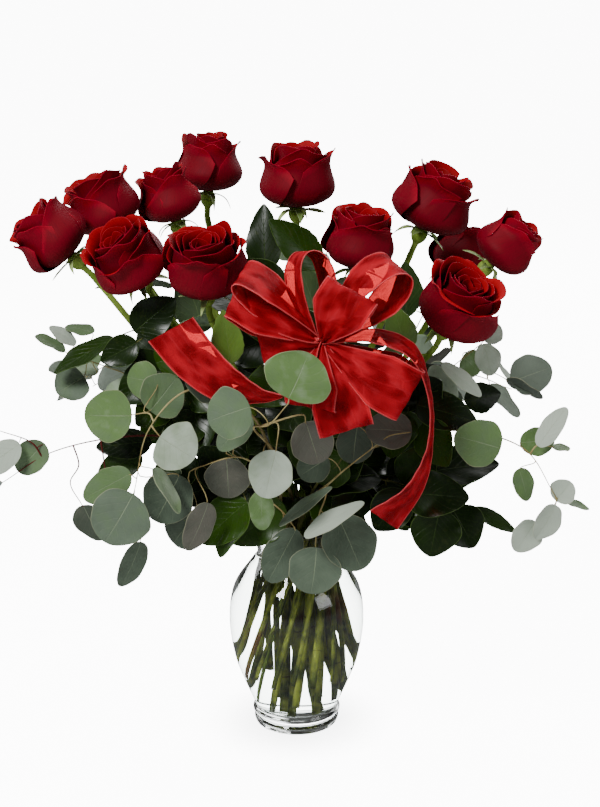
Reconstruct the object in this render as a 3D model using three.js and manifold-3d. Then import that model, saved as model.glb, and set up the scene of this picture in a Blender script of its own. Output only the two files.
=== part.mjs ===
// A dozen red roses with salal leaves, silver-dollar eucalyptus and an organza bow, standing in the
// water of a clear glass vase. Millimetres, +Z up, +X to the right and -Y towards the viewer. The
// origin is the middle of the vase's flat underside.
import * as THREE from "three";
import Module from "manifold-3d";

const wasm = await Module();
wasm.setup();

const DEG = Math.PI / 180;
const UP = new THREE.Vector3(0, 0, 1);
const vec = (p) => new THREE.Vector3(p[0], p[1], p[2]);
const mix = (a, b, t) => a + (b - a) * t;
const smooth = (t) => {
  const c = Math.min(1, Math.max(0, t));
  return c * c * (3 - 2 * c);
};
// A fixed number from 0 to 1 for each whole number n, so that every build makes the same draw.
const vary = (n) => {
  const s = Math.sin(n * 12.9898 + 4.1) * 43758.5453;
  return s - Math.floor(s);
};

// ---- Solids --------------------------------------------------------------------------------------

function solidOf(points, triangles) {
  return new wasm.Manifold(
    new wasm.Mesh({
      numProp: 3,
      vertProperties: Float32Array.from(points.flatMap((p) => [p.x, p.y, p.z])),
      triVerts: Uint32Array.from(triangles.flat()),
    }),
  );
}

function facingOut(points, triangles) {
  const made = solidOf(points, triangles);
  return made.volume() > 0 ? made : solidOf(points, triangles.map(([a, b, c]) => [a, c, b]));
}

// A closed tube through the points, with its own radius at each and both ends capped.
function tube(points, radii, sides) {
  const rings = [];
  let across = new THREE.Vector3();
  points.forEach((point, i) => {
    const before = points[Math.max(0, i - 1)];
    const after = points[Math.min(points.length - 1, i + 1)];
    const along = after.clone().sub(before).normalize();
    if (i === 0) across = new THREE.Vector3(1, 0.2, 0);
    across.addScaledVector(along, -across.dot(along)).normalize();
    const other = along.clone().cross(across);
    for (let s = 0; s < sides; s++) {
      const angle = (2 * Math.PI * s) / sides;
      rings.push(
        point
          .clone()
          .addScaledVector(across, radii[i] * Math.cos(angle))
          .addScaledVector(other, radii[i] * Math.sin(angle)),
      );
    }
  });
  const triangles = [];
  for (let i = 0; i + 1 < points.length; i++)
    for (let s = 0; s < sides; s++) {
      const a = i * sides + s;
      const b = i * sides + ((s + 1) % sides);
      triangles.push([a, b, b + sides], [a, b + sides, a + sides]);
    }
  const last = (points.length - 1) * sides;
  for (let s = 1; s + 1 < sides; s++)
    triangles.push([0, s + 1, s], [last, last + s, last + s + 1]);
  return facingOut(rings, triangles);
}

// A sheet of even thickness over a grid of points, split into triangles alike on both faces.
function thickGrid(grid, thickness) {
  const rows = grid.length;
  const columns = grid[0].length;
  const at = (i, j) =>
    grid[Math.min(rows - 1, Math.max(0, i))][Math.min(columns - 1, Math.max(0, j))];
  const points = [];
  for (const side of [0.5, -0.5])
    for (let i = 0; i < rows; i++)
      for (let j = 0; j < columns; j++) {
        const down = at(i + 1, j).clone().sub(at(i - 1, j));
        const over = at(i, j + 1).clone().sub(at(i, j - 1));
        const normal = down.cross(over).normalize();
        points.push(grid[i][j].clone().addScaledVector(normal, side * thickness));
      }
  const triangles = [];
  const far = rows * columns;
  for (let i = 0; i + 1 < rows; i++)
    for (let j = 0; j + 1 < columns; j++) {
      const a = i * columns + j;
      const c = a + columns + 1;
      triangles.push([a, a + 1, c], [a, c, a + columns]);
      triangles.push([far + a, far + c, far + a + 1], [far + a, far + a + columns, far + c]);
    }
  const rim = [];
  for (let j = 0; j < columns; j++) rim.push(j);
  for (let i = 1; i < rows; i++) rim.push(i * columns + columns - 1);
  for (let j = columns - 2; j >= 0; j--) rim.push((rows - 1) * columns + j);
  for (let i = rows - 2; i > 0; i--) rim.push(i * columns);
  rim.forEach((a, n) => {
    const b = rim[(n + 1) % rim.length];
    triangles.push([a, far + a, b], [b, far + a, far + b]);
  });
  return facingOut(points, triangles);
}

const union = (solids) => wasm.Manifold.union(solids);

// The largest piece of a solid that a cut has left in several.
function largest(solid) {
  const pieces = solid.decompose();
  return pieces.reduce((best, piece) => (piece.volume() > best.volume() ? piece : best));
}

const bouquet = new THREE.Group();

const FINISH = {
  glass: { color: 0xe8f0ee, roughness: 0.02, metalness: 0, transparent: true, opacity: 0.35 },
  water: { color: 0xdfeeee, roughness: 0.02, metalness: 0, transparent: true, opacity: 0.35 },
  petal: { color: 0xa00a14, roughness: 0.6, metalness: 0 },
  roseStem: { color: 0x5d7f2c, roughness: 0.55, metalness: 0 },
  salal: { color: 0x1e4016, roughness: 0.4, metalness: 0 },
  eucalyptus: { color: 0x6f8878, roughness: 0.8, metalness: 0 },
  organza: { color: 0xc8141c, roughness: 0.5, metalness: 0 },
  stake: { color: 0x3c5a24, roughness: 0.8, metalness: 0 },
};

// Detail finer than this, in millimetres, is left out of a node.
function addNode(name, solid, finish, smallest = 0.15) {
  const tidy = largest(largest(solid).simplify(smallest));
  const made = tidy.getMesh();
  const geometry = new THREE.BufferGeometry();
  geometry.setAttribute("position", new THREE.BufferAttribute(made.vertProperties.slice(), 3));
  geometry.setIndex(new THREE.BufferAttribute(made.triVerts.slice(), 1));
  geometry.computeVertexNormals();
  const mesh = new THREE.Mesh(geometry, new THREE.MeshStandardMaterial(FINISH[finish]));
  mesh.name = name;
  bouquet.add(mesh);
}

// ---- Vase: blown glass, round foot, full body, narrow neck and a flared mouth ---------------------

const VASE_SIDES = 18;
const WALL = 3;
const FLOOR_Z = 14; // the thick glass bottom ends here and the water begins
const NECK_Z = 174;
const RIM_Z = 206;
const WATER_Z = 171;
// [radius, height] of the outside, from the edge of the flat underside to the rim.
const VASE_OUTSIDE = [
  [33, 0], [39, 4], [41.5, 12], [39, 20.5], [50, 46], [58.5, 70],
  [63.5, 105], [59.5, 138], [44, 162.5], [36.5, NECK_Z], [41, 190], [51, RIM_Z],
];

function outsideRadius(z) {
  const i = VASE_OUTSIDE.findIndex((point) => point[1] >= z);
  if (i < 0) return 0;
  if (i === 0) return VASE_OUTSIDE[0][0];
  const [r0, z0] = VASE_OUTSIDE[i - 1];
  const [r1, z1] = VASE_OUTSIDE[i];
  return mix(r0, r1, (z - z0) / (z1 - z0));
}
const insideRadius = (z) => outsideRadius(z) - WALL;

// Turns a profile that starts and ends on the axis, as [radius, height], into a solid.
function turned(profile, sides) {
  const points = profile.map(([r, z]) => new THREE.Vector2(r, z));
  const lathe = new THREE.LatheGeometry(points, sides).rotateX(Math.PI / 2);
  const place = lathe.getAttribute("position");
  const key = (i) => [0, 1, 2].map((k) => place.array[i * 3 + k].toFixed(3) + 0).join();
  const first = new Map();
  const merged = [];
  const index = [];
  for (let i = 0; i < place.count; i++) {
    const name = key(i).replaceAll("-0.0000", "0.0000");
    if (!first.has(name)) {
      first.set(name, merged.length);
      merged.push(new THREE.Vector3().fromBufferAttribute(place, i));
    }
    index.push(first.get(name));
  }
  const triangles = [];
  for (let i = 0; i < lathe.index.count; i += 3) {
    const t = [0, 1, 2].map((k) => index[lathe.index.array[i + k]]);
    if (new Set(t).size === 3) triangles.push(t);
  }
  return facingOut(merged, triangles);
}

const insideHeights = [FLOOR_Z + 5, 46, 70, 105, 138, 162.5, NECK_Z, RIM_Z];
const vaseInside = [[0, FLOOR_Z], [26, FLOOR_Z], ...insideHeights.map((z) => [insideRadius(z), z])];
const vase = turned([[0, 0], ...VASE_OUTSIDE, ...vaseInside.toReversed()], VASE_SIDES);
addNode("vase", vase, "glass");

// ---- Stems in the vase: straight lines that pass the neck in a twist and spread below and above ----

const TWIST = 0.012; // how far a stem leans round the axis, per millimetre of its distance from it
const JOIN_Z = 225; // above this each stem bends out to its own place

// A stem's place at a height, from its place at the neck: turned and spread in the same measure.
function inNeck(slot, z) {
  const t = TWIST * (z - NECK_Z);
  return new THREE.Vector3(slot.x - slot.y * t, slot.y + slot.x * t, z);
}

const RINGS = [
  { radius: 8, first: -10, names: ["rose_11", "rose_08", "rose_05", "rose_06", "salal_03"] },
  {
    radius: 17.5,
    first: 0,
    names: [
      "rose_10", "rose_09", "rose_07", "rose_03", "rose_02", "eucalyptus_04",
      "salal_01", "eucalyptus_01", "eucalyptus_03", "bow_stake", "salal_05",
    ],
  },
  {
    radius: 27,
    first: 37,
    names: [
      "eucalyptus_09", "salal_07", "salal_08", "rose_04", "salal_09", "eucalyptus_10",
      "rose_01", "eucalyptus_02", "salal_02", "eucalyptus_08", "eucalyptus_07", "salal_06",
      "eucalyptus_05", "salal_04", "eucalyptus_06", "rose_12",
    ],
  },
];
const slots = {};
for (const ring of RINGS)
  ring.names.forEach((name, i) => {
    const atJoin = (ring.first + (360 * i) / ring.names.length) * DEG;
    const atNeck = atJoin - Math.atan(TWIST * (JOIN_Z - NECK_Z));
    const radius = ring.radius - (ring.radius > 20 && i % 2 ? 2 : 0);
    slots[name] = { x: radius * Math.cos(atNeck), y: radius * Math.sin(atNeck) };
  });

// The height at which a stem is cut: just above the floor, or where it would meet the wall.
function cutHeight(name, radius) {
  let z = FLOOR_Z + 1.2;
  const out = (h) => Math.hypot(inNeck(slots[name], h).x, inNeck(slots[name], h).y);
  while (out(z) + radius + 2.2 > insideRadius(z) || (z < FLOOR_Z + 5 && out(z) + radius > 24)) z += 1;
  return z;
}

const HOLE_GAP = 0.4;
const holes = [];
const stemLines = {};

// A whole stem: straight from its cut end to the join, then through the given places.
function stemLine(name, radius, places, endWay) {
  const low = inNeck(slots[name], cutHeight(name, radius));
  const join = inNeck(slots[name], JOIN_Z);
  const way = join.clone().sub(low).normalize();
  const knots = [join.clone().addScaledVector(way, -6), join, ...places.map(vec)];
  if (endWay) knots.push(knots.at(-1).clone().addScaledVector(endWay, 8));
  const curve = new THREE.CatmullRomCurve3(knots, false, "centripetal");
  const upper = [];
  const steps = places.length + 2;
  const from = 1 / (knots.length - 1);
  const to = endWay ? 1 - from : 1;
  for (let i = 0; i <= steps; i++) upper.push(curve.getPoint(mix(from, to, i / steps)));
  const below = low.clone().addScaledVector(way, -0.5);
  const mouth = inNeck(slots[name], WATER_Z + 6);
  holes.push(tube([below, mouth], [radius + HOLE_GAP, radius + HOLE_GAP], radius > 2 ? 5 : 4));
  stemLines[name] = { low, upper, radius };
  return { low, upper, radius, curve, from, to };
}

// ---- Keeping pieces clear of each other -----------------------------------------------------------

const taken = []; // { point, radius, owner } for everything that is in place
function take(points, radius, owner) {
  for (const point of points) taken.push({ point, radius, owner });
}
function isClear(points, owner, gap) {
  for (const p of points) {
    if (p.z < RIM_Z + 4 && Math.hypot(p.x, p.y) < outsideRadius(Math.min(p.z, RIM_Z)) + 4) return false;
    if (p.z < 8) return false;
    for (const t of taken) {
      if (t.owner === owner) continue;
      const reach = t.radius + gap;
      const dx = p.x - t.point.x;
      if (dx > reach || dx < -reach) continue;
      const dy = p.y - t.point.y;
      const dz = p.z - t.point.z;
      if (dx * dx + dy * dy + dz * dz < reach * reach) return false;
    }
  }
  return true;
}
function along(points, step) {
  const found = [points[0]];
  for (let i = 0; i + 1 < points.length; i++) {
    const count = Math.ceil(points[i].distanceTo(points[i + 1]) / step);
    for (let k = 1; k <= count; k++) found.push(points[i].clone().lerp(points[i + 1], k / count));
  }
  return found;
}

// ---- Leaves ---------------------------------------------------------------------------------------

// Half of each outline, as [share of the length, share of the width], from the base to the tip.
const OUTLINES = {
  round: [[0.1, 0.34], [0.45, 0.5], [0.84, 0.37]],
  salal: [[0.09, 0.3], [0.38, 0.5], [0.76, 0.31]],
  rose: [[0.12, 0.33], [0.4, 0.5], [0.75, 0.28]],
};
const SMALL_OUTLINE = [[0.22, 0.47], [0.72, 0.47]];
const FAR_OUTLINE = [[0.2, 0.45], [0.68, 0.4]]; // for the leaves that a rule places
const BLADE = 0.7;
const STALK = 1.5;

// A leaf's own axes: the place on the blade for shares along and across, bent a little downwards.
function leafSurface({ base, tip, width, face, bend = 0.1 }) {
  const from = vec(base);
  const length = from.distanceTo(vec(tip));
  const ahead = vec(tip).sub(from).normalize();
  const side = vec(face).cross(ahead).normalize();
  const top = ahead.clone().cross(side);
  return (s, w) =>
    from
      .clone()
      .addScaledVector(ahead, s * length)
      .addScaledVector(side, w * width)
      .addScaledVector(top, -bend * length * s * s);
}

// A blade with its stalk as one thin body, from the place where the stalk leaves the twig.
function leafSolid(leaf, foot) {
  const at = leafSurface(leaf);
  const side = at(0, 0.5).sub(at(0, -0.5)).normalize();
  const ahead = at(0.2, 0).sub(at(0, 0)).normalize();
  const stalk = vec(leaf.base).sub(foot);
  const short = stalk.length() < 1;
  stalk.normalize();
  const top = ahead.clone().cross(side);
  const bent = !short && (Math.abs(stalk.dot(top)) > 0.75 || stalk.dot(ahead) < -0.6);
  const pair = (place, way) => [-0.5, 0.5].map((w) => place.clone().addScaledVector(way, w * STALK));
  const right = top.clone().cross(stalk).normalize();
  const pairs = [];
  if (bent || short) pairs.push(pair(at(-0.06, 0), side));
  else pairs.push(pair(foot, right), pair(at(0, 0), right.clone().add(side).normalize()));
  const small = leaf.kind === "round" && leaf.width < 36;
  const outline = small ? SMALL_OUTLINE : leaf.far ? FAR_OUTLINE : OUTLINES[leaf.kind];
  for (const [s, w] of outline) pairs.push([at(s, -w), at(s, w)]);
  const end = at(1, 0);
  const normal = at(0.5, 0.2).sub(at(0.5, -0.2)).cross(at(0.7, 0).sub(at(0.3, 0))).normalize();
  const flat = [...pairs.flat(), end];
  const points = [];
  for (const side of [0.5, -0.5])
    for (const place of flat) points.push(place.clone().addScaledVector(normal, side * BLADE));
  const far = flat.length;
  const triangles = [];
  for (let i = 0; i + 1 < pairs.length; i++) {
    const a = 2 * i;
    triangles.push([a, a + 1, a + 3], [a, a + 3, a + 2]);
  }
  triangles.push([far - 3, far - 2, far - 1]);
  const under = triangles.map(([a, b, c]) => [far + a, far + c, far + b]);
  const rim = [];
  for (let i = 0; i < pairs.length; i++) rim.push(2 * i);
  rim.push(far - 1);
  for (let i = pairs.length - 1; i >= 0; i--) rim.push(2 * i + 1);
  const edge = rim.flatMap((a, k) => {
    const b = rim[(k + 1) % rim.length];
    return [[a, b, far + a], [b, far + b, far + a]];
  });
  const blade = facingOut(points, [...triangles, ...under, ...edge]);
  return bent ? [blade, tube([foot, at(0.03, 0)], [0.8, 0.8], 3)] : [blade];
}

function leafSamples(leaf) {
  const at = leafSurface(leaf);
  const length = vec(leaf.base).distanceTo(vec(leaf.tip));
  const rows = Math.ceil(length / 5);
  const found = [];
  for (let i = 0; i <= rows; i++) {
    const s = i / rows;
    const reach = 0.5 * Math.sqrt(Math.max(0, 1 - (2 * s - 1) ** 2)) + 0.02;
    const columns = Math.max(1, Math.round((reach * leaf.width) / 2.5));
    for (let j = -columns; j <= columns; j++) found.push(at(s, (reach * j) / (columns + 0.001)));
  }
  return found;
}

const LEAF_GAP = 2.7;

// Turns a leaf about its base in small steps until it is clear of all other pieces.
const TURNS = [
  [0, 0], [0, 12], [0, -12], [12, 0], [-12, 0], [10, 14], [-10, -14], [0, 26], [0, -26],
  [24, 0], [-24, 0], [20, 24], [-20, -24], [20, -24], [-20, 24], [0, 42], [0, -42], [38, 0], [-38, 0],
];
function clearLeaf(leaf, owner) {
  const base = vec(leaf.base);
  const ahead = vec(leaf.tip).sub(base);
  const side = vec(leaf.face).cross(ahead).normalize();
  for (const [swing, pitch] of TURNS) {
    const turned = ahead
      .clone()
      .applyAxisAngle(UP, swing * DEG)
      .applyAxisAngle(side, pitch * DEG);
    const face = vec(leaf.face).applyAxisAngle(UP, swing * DEG).applyAxisAngle(side, pitch * DEG);
    const tip = base.clone().add(turned).toArray();
    const tried = { ...leaf, tip, face: face.toArray() };
    const samples = leafSamples(tried);
    if (isClear(samples, owner, LEAF_GAP)) return { ...tried, samples };
  }
  return null;
}

// The nearest place on a set of lines to a point.
function nearestOn(lines, point) {
  let best = null;
  for (const line of lines)
    for (let i = 0; i + 1 < line.length; i++) {
      const segment = new THREE.Line3(line[i], line[i + 1]);
      const place = segment.closestPointToPoint(point, true, new THREE.Vector3());
      const distance = place.distanceTo(point);
      if (!best || distance < best.distance) best = { place, distance };
    }
  return best;
}

// Grows a plant: its stem, its side twigs and its leaves with their stalks, all one body.
function grow(name, { stem, twigs = [], leaves = [], thin = 1.2, extra = [] }) {
  const solids = [stem.solid, ...extra];
  const lines = [stem.upper];
  for (const twig of twigs) {
    const points = twig.map(vec);
    const root = nearestOn([stem.upper], points[0]).place;
    const whole = [root, ...points];
    solids.push(tube(whole, whole.map((_, i) => mix(thin, 0.7, i / whole.length)), 4));
    lines.push(whole);
    take(along(whole, 4), thin, name);
  }
  for (const wanted of leaves) {
    const leaf = clearLeaf(wanted, name);
    if (!leaf) continue;
    const foot = nearestOn(lines, vec(leaf.base)).place;
    solids.push(...leafSolid(leaf, foot));
    take(leaf.samples, 0.3, name);
    take(along([foot, vec(leaf.base)], 4), 0.8, name);
  }
  return union(solids);
}

// ---- Roses ----------------------------------------------------------------------------------------

// Axes of a bloom: its own up is the way it opens.
function frameAlong(place, way, spin) {
  const up = way.clone().normalize();
  const out = new THREE.Vector3(Math.cos(spin), Math.sin(spin), 0);
  out.addScaledVector(up, -out.dot(up)).normalize();
  const other = up.clone().cross(out);
  return (x, y, z) =>
    place.clone().addScaledVector(out, x).addScaledVector(other, y).addScaledVector(up, z);
}

// A petal's radius and height for u across (-1 to 1) and v from its root to its rim. A quarter circle
// makes the bowl and a wall leans in above it; the rim bends outwards on an arc, least at its middle,
// which leaves a point. The sides fall short of the middle, one more than the other.
const ROLL_FROM = 0.8;
function petalProfile(petal, u, v) {
  const across = Math.abs(u);
  const middle = Math.exp(-((u / 0.25) ** 2));
  const risen = v * (1 - 0.17 * across ** 3 - 0.03 * u + 0.03 * middle);
  const t = (Math.min(1, risen / 0.42) * Math.PI) / 2;
  const s = Math.max(0, (Math.min(risen, ROLL_FROM) - 0.42) / 0.58);
  const reach = 0.22 * petal.height;
  const far = (Math.max(0, risen - ROLL_FROM) / 0.2) * reach;
  const curve = (petal.roll * DEG * (1 - 0.35 * middle + 0.3 * across) + 0.02) / reach;
  const wall = 1 - petal.lean * smooth(s * 1.3);
  const bowl = 4 + (petal.radius - 4) * Math.sin(t) * wall;
  const r = bowl * (1 + 0.05 * u) + (1 - Math.cos(curve * far)) / curve;
  const z = petal.height * (0.36 * (1 - Math.cos(t)) + 0.64 * s) + Math.sin(curve * far) / curve + 1.2;
  return [r, z];
}

// The petals of a bloom in three layers, each at the golden angle from the last.
function petalsOf({ size, open, spin }) {
  const layer = (count, radius, step, height, lean, roll, spread, start) =>
    Array.from({ length: count }, (_, i) => ({
      radius: size * (radius - step * i),
      height: size * (height - 1.5 * (i % 2)),
      lean,
      roll: roll * (0.6 + 0.8 * vary(i + 7 * start + spin)),
      spread: spread * DEG,
      turn: (start + 137.5 * i) * DEG,
    }));
  return {
    outer: layer(5, 32 + 4 * open, 1.6, 51 - open, 0.25 - 0.2 * open, 35 + 60 * open, 62, 0),
    middle: layer(4, 23 + 4 * open, 1.6, 55 - 2 * open, 0.3 - 0.2 * open, 12 + 30 * open, 72, 30),
    heart: layer(4, 14 + 3 * open, 1.6, 57 - 6 * open, 0.45 - 0.2 * open, 6 + 10 * open, 80, 110),
  };
}

// The outermost petal of a layer that covers an angle, and the petal's share across there.
function outermost(petals, angle) {
  const whole = 2 * Math.PI;
  let best = null;
  for (const petal of petals) {
    const turn = angle - petal.turn;
    const u = (turn - whole * Math.round(turn / whole)) / petal.spread;
    if (Math.abs(u) > 1) continue;
    const [reach] = petalProfile(petal, u, 0.6);
    if (!best || reach > best.reach) best = { petal, u, reach };
  }
  return best;
}

// The angles at which a layer of petals needs its points: both sides of each edge that shows, the
// middle of each petal that shows, and one more in a wide gap.
const STEP_SIDE = 0.035;
function layerAngles(petals) {
  const whole = 2 * Math.PI;
  const found = [];
  for (const petal of petals) {
    for (const end of [-1, 1]) {
      const angle = petal.turn + end * petal.spread;
      const shows = outermost(petals, angle - end * STEP_SIDE).petal === petal;
      if (shows) found.push(angle - end * STEP_SIDE, angle + end * STEP_SIDE);
    }
    if (outermost(petals, petal.turn).petal === petal) found.push(petal.turn);
  }
  const angles = found.map((angle) => ((angle % whole) + whole) % whole).sort((a, b) => a - b);
  const filled = angles.flatMap((angle, i) => {
    const next = i + 1 < angles.length ? angles[i + 1] : angles[0] + whole;
    return next - angle > 36 * DEG ? [angle, (angle + next) / 2] : [angle];
  });
  return filled.filter((angle, i) => i === 0 || angle - filled[i - 1] > 0.04);
}

// A bloom as one closed body: three layers of overlapping petals with a step at each side edge and a
// deep groove behind each rim, round a small heart. The whole cup winds as it rises.
const WIND = 32 * DEG;
function bloomSolid(place, rose) {
  const { size } = rose;
  const at = frameAlong(place, rose.way, rose.spin * DEG);
  const { outer, middle, heart } = petalsOf(rose);
  const angles = layerAngles(outer);
  const points = [at(0, 0, 0)];
  let rings = 0;
  for (const angle of angles) {
    const on = (layer, v) => {
      const found = outermost(layer, angle);
      return petalProfile(found.petal, found.u, v);
    };
    const walls = [0.08, 0.24, 0.45, 0.8, 1].map((v) => on(outer, v));
    const rim = walls.at(-1);
    const inside = [Math.min(walls[3][0] - 1.4, rim[0] - 2), rim[1] - 2];
    const [nextRim, lastRim] = [on(middle, 1), on(heart, 1)];
    const lower = Math.min(rim[1], nextRim[1]);
    const groove = [Math.min(on(middle, 0.8)[0] + 1, inside[0] - 1.2), lower - 12 * size];
    nextRim[0] = Math.min(nextRim[0], inside[0] - 1);
    const within = [nextRim[0] - 2.4, nextRim[1] - 1.5];
    const lowest = Math.min(nextRim[1], lastRim[1]);
    const second = [Math.min(on(heart, 0.8)[0] + 1, within[0] - 1.2), lowest - 9 * size];
    lastRim[0] = Math.min(lastRim[0], within[0] - 1.5);
    const profile = [...walls, inside, groove, nextRim, within, second, lastRim];
    rings = profile.length;
    for (const [r, z] of profile) {
      const turned = angle + (WIND * z) / (55 * size);
      points.push(at(r * Math.cos(turned), r * Math.sin(turned), z));
    }
  }
  points.push(at(0, 0, (52 - 8 * rose.open) * size));
  const triangles = [];
  for (let k = 0; k < angles.length; k++) {
    const a = 1 + k * rings;
    const b = 1 + ((k + 1) % angles.length) * rings;
    triangles.push([0, b, a]);
    for (let i = 0; i + 1 < rings; i++) {
      triangles.push([a + i, b + i, b + i + 1], [a + i, b + i + 1, a + i + 1]);
    }
    triangles.push([a + rings - 1, b + rings - 1, points.length - 1]);
  }
  return facingOut(points, triangles);
}

// Five sepals from the top of the hip, some level and some bent down, each a thin pointed blade.
function sepals(place, rose) {
  const at = frameAlong(place, rose.way, rose.spin * DEG);
  return [0, 1, 2, 3, 4].map((k) => {
    const turn = (k * 72 + 20) * DEG;
    const fall = 0.2 + 1.2 * vary(k + 11 * rose.spin);
    const reach = rose.size * (21 + 8 * vary(k + 3 * rose.spin));
    const rib = [0, 0.5, 1].map((s) => {
      const out = 4.5 + reach * s * (1 - 0.3 * fall * s);
      const z = -2.4 + 2.2 * s - fall * reach * 0.55 * s * s;
      return (w, lift) =>
        at(out * Math.cos(turn) - w * Math.sin(turn), out * Math.sin(turn) + w * Math.cos(turn), z + lift);
    });
    const points = [
      rib[0](-3, 0), rib[0](3, 0), rib[0](0, -1.4),
      rib[1](-2.6, 0.4), rib[1](2.6, 0.4), rib[1](0, -0.7),
      rib[2](0, 0),
    ];
    const triangles = [
      [0, 1, 2], [0, 3, 4], [0, 4, 1], [1, 4, 5], [1, 5, 2],
      [2, 5, 3], [2, 3, 0], [3, 6, 4], [4, 6, 5], [5, 6, 3],
    ];
    return { solid: facingOut(points, triangles), points: rib.map((place) => place(0, 0)) };
  });
}

const norm = (p) => vec(p).normalize();
const ROSES = {
  rose_01: { centre: [-222, -22, 483], way: norm([-0.7, -0.05, 0.7]), size: 0.98, open: 0.5, spin: 20 },
  rose_02: { centre: [-177, 27, 504], way: norm([-0.4, 0, 0.92]), size: 0.98, open: 0.7, spin: 75 },
  rose_03: { centre: [-119, 60, 505], way: norm([-0.26, 0, 0.96]), size: 0.92, open: 0.1, spin: 130 },
  rose_04: { centre: [-83, 128, 524], way: norm([0.05, 0.05, 1]), size: 1.0, open: 0.25, spin: 200 },
  rose_05: { centre: [-150, -66, 474], way: norm([-0.45, -0.34, 0.82]), size: 0.98, open: 0.8, spin: 250 },
  rose_06: { centre: [-79, -90, 474], way: norm([-0.06, -0.34, 0.94]), size: 1.02, open: 0.8, spin: 310 },
  rose_07: { centre: [1, 40, 527], way: norm([0.02, 0, 1]), size: 1.05, open: 0.6, spin: 45 },
  rose_08: { centre: [59, 0, 477], way: norm([0.1, -0.06, 1]), size: 1.0, open: 0.45, spin: 100 },
  rose_09: { centre: [129, 50, 503], way: norm([0.38, -0.05, 0.92]), size: 1.08, open: 0.6, spin: 160 },
  rose_10: { centre: [196, 20, 467], way: norm([0.66, -0.05, 0.75]), size: 0.92, open: 0.15, spin: 220 },
  rose_11: { centre: [143, -80, 437], way: norm([0.35, -0.38, 0.86]), size: 1.04, open: 0.85, spin: 280 },
  rose_12: { centre: [160, 112, 440], way: norm([0.4, 0.35, 0.85]), size: 0.92, open: 0.4, spin: 340 },
};
for (const rose of Object.values(ROSES)) {
  rose.foot = vec(rose.centre).addScaledVector(rose.way, -32 * rose.size);
}

// ---- Stems of all the plants: [places above the join], with the radius at the cut end -------------

const STEMS = {
  salal_01: { radius: 2.2, places: [[-70, -30, 300], [-115, -50, 355], [-128, -58, 400]] },
  salal_02: { radius: 2.2, places: [[-30, -60, 255], [-62, -84, 270], [-90, -80, 290]] },
  salal_03: { radius: 2.2, places: [[-12, -22, 330], [-18, -32, 420], [-22, -36, 448]] },
  salal_04: { radius: 2.2, places: [[55, -40, 258], [95, -66, 262], [128, -64, 246]] },
  salal_05: { radius: 2.2, places: [[45, -30, 300], [92, -60, 330], [120, -60, 338]] },
  salal_06: { radius: 2.2, places: [[20, -58, 262], [40, -84, 292], [48, -92, 340]] },
  salal_07: { radius: 2.2, places: [[70, 70, 300], [110, 110, 350], [130, 130, 385]] },
  salal_08: { radius: 2.2, places: [[20, 60, 330], [25, 110, 400], [30, 125, 440]] },
  salal_09: { radius: 2.2, places: [[-50, 60, 310], [-100, 110, 370], [-120, 130, 410]] },
  eucalyptus_01: {
    radius: 1.9,
    places: [[-40, -74, 330], [-92, -104, 361], [-128, -104, 325], [-141, -110, 272]],
  },
  eucalyptus_02: {
    radius: 1.9,
    places: [[-72, -44, 290], [-135, -60, 306], [-217, -60, 291], [-264, -61, 262]],
  },
  eucalyptus_03: {
    radius: 1.9,
    places: [[-20, -88, 300], [-36, -140, 338], [-22, -176, 352], [-7, -192, 374]],
  },
  eucalyptus_04: { radius: 1.9, places: [[-80, -26, 322], [-150, -38, 356], [-205, -24, 372]] },
  eucalyptus_05: { radius: 1.9, places: [[70, -62, 296], [140, -96, 322], [200, -94, 304], [228, -98, 262]] },
  eucalyptus_06: { radius: 1.9, places: [[70, -30, 310], [120, -50, 352], [160, -42, 382]] },
  eucalyptus_07: { radius: 1.9, places: [[24, -76, 262], [44, -104, 290], [78, -116, 322]] },
  eucalyptus_08: { radius: 1.9, places: [[-18, -70, 262], [-50, -104, 300], [-88, -104, 290]] },
  eucalyptus_09: { radius: 1.9, places: [[90, 60, 290], [160, 90, 320], [210, 110, 300]] },
  eucalyptus_10: { radius: 1.9, places: [[-80, 70, 290], [-150, 110, 330], [-200, 120, 300]] },
  bow_stake: { radius: 1.6, places: [[22, -60, 300], [23, -110, 372], [23, -148, 414]] },
};

// Runs a stem's tube from its cut end to its last place and notes it as taken.
function runStem(name, radius, topRadius, places, endWay, finish = []) {
  const line = stemLine(name, radius, places, endWay);
  const points = [line.low, ...line.upper];
  const radii = points.map((_, i) =>
    i < 2 ? radius : mix(radius, topRadius, (i - 1) / (points.length - 2)),
  );
  for (const [point, wide] of finish) {
    points.push(point);
    radii.push(wide);
  }
  const thick = Math.max(radius, topRadius);
  take(along(points, 4), thick, name);
  return { ...line, solid: tube(points, radii, radius > 2 ? 5 : 4) };
}

const stems = {};
for (const [name, rose] of Object.entries(ROSES)) {
  const under = rose.foot.clone().addScaledVector(rose.way, -24);
  const join = inNeck(slots[name], JOIN_Z);
  const middle = join.clone().lerp(under, 0.5).add(new THREE.Vector3(0, 0, 6));
  const hip = [
    [rose.foot.clone().addScaledVector(rose.way, -15), 3.1],
    [rose.foot.clone().addScaledVector(rose.way, -10.5), 6.2],
    [rose.foot.clone().addScaledVector(rose.way, -4), 7.2],
    [rose.foot.clone().addScaledVector(rose.way, -0.3), 5.8],
  ];
  stems[name] = runStem(name, 3.3, 2.8, [middle.toArray(), under.toArray()], rose.way, hip);
}
for (const [name, plant] of Object.entries(STEMS))
  stems[name] = runStem(name, plant.radius, name === "bow_stake" ? 1.4 : 1.1, plant.places);

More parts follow.
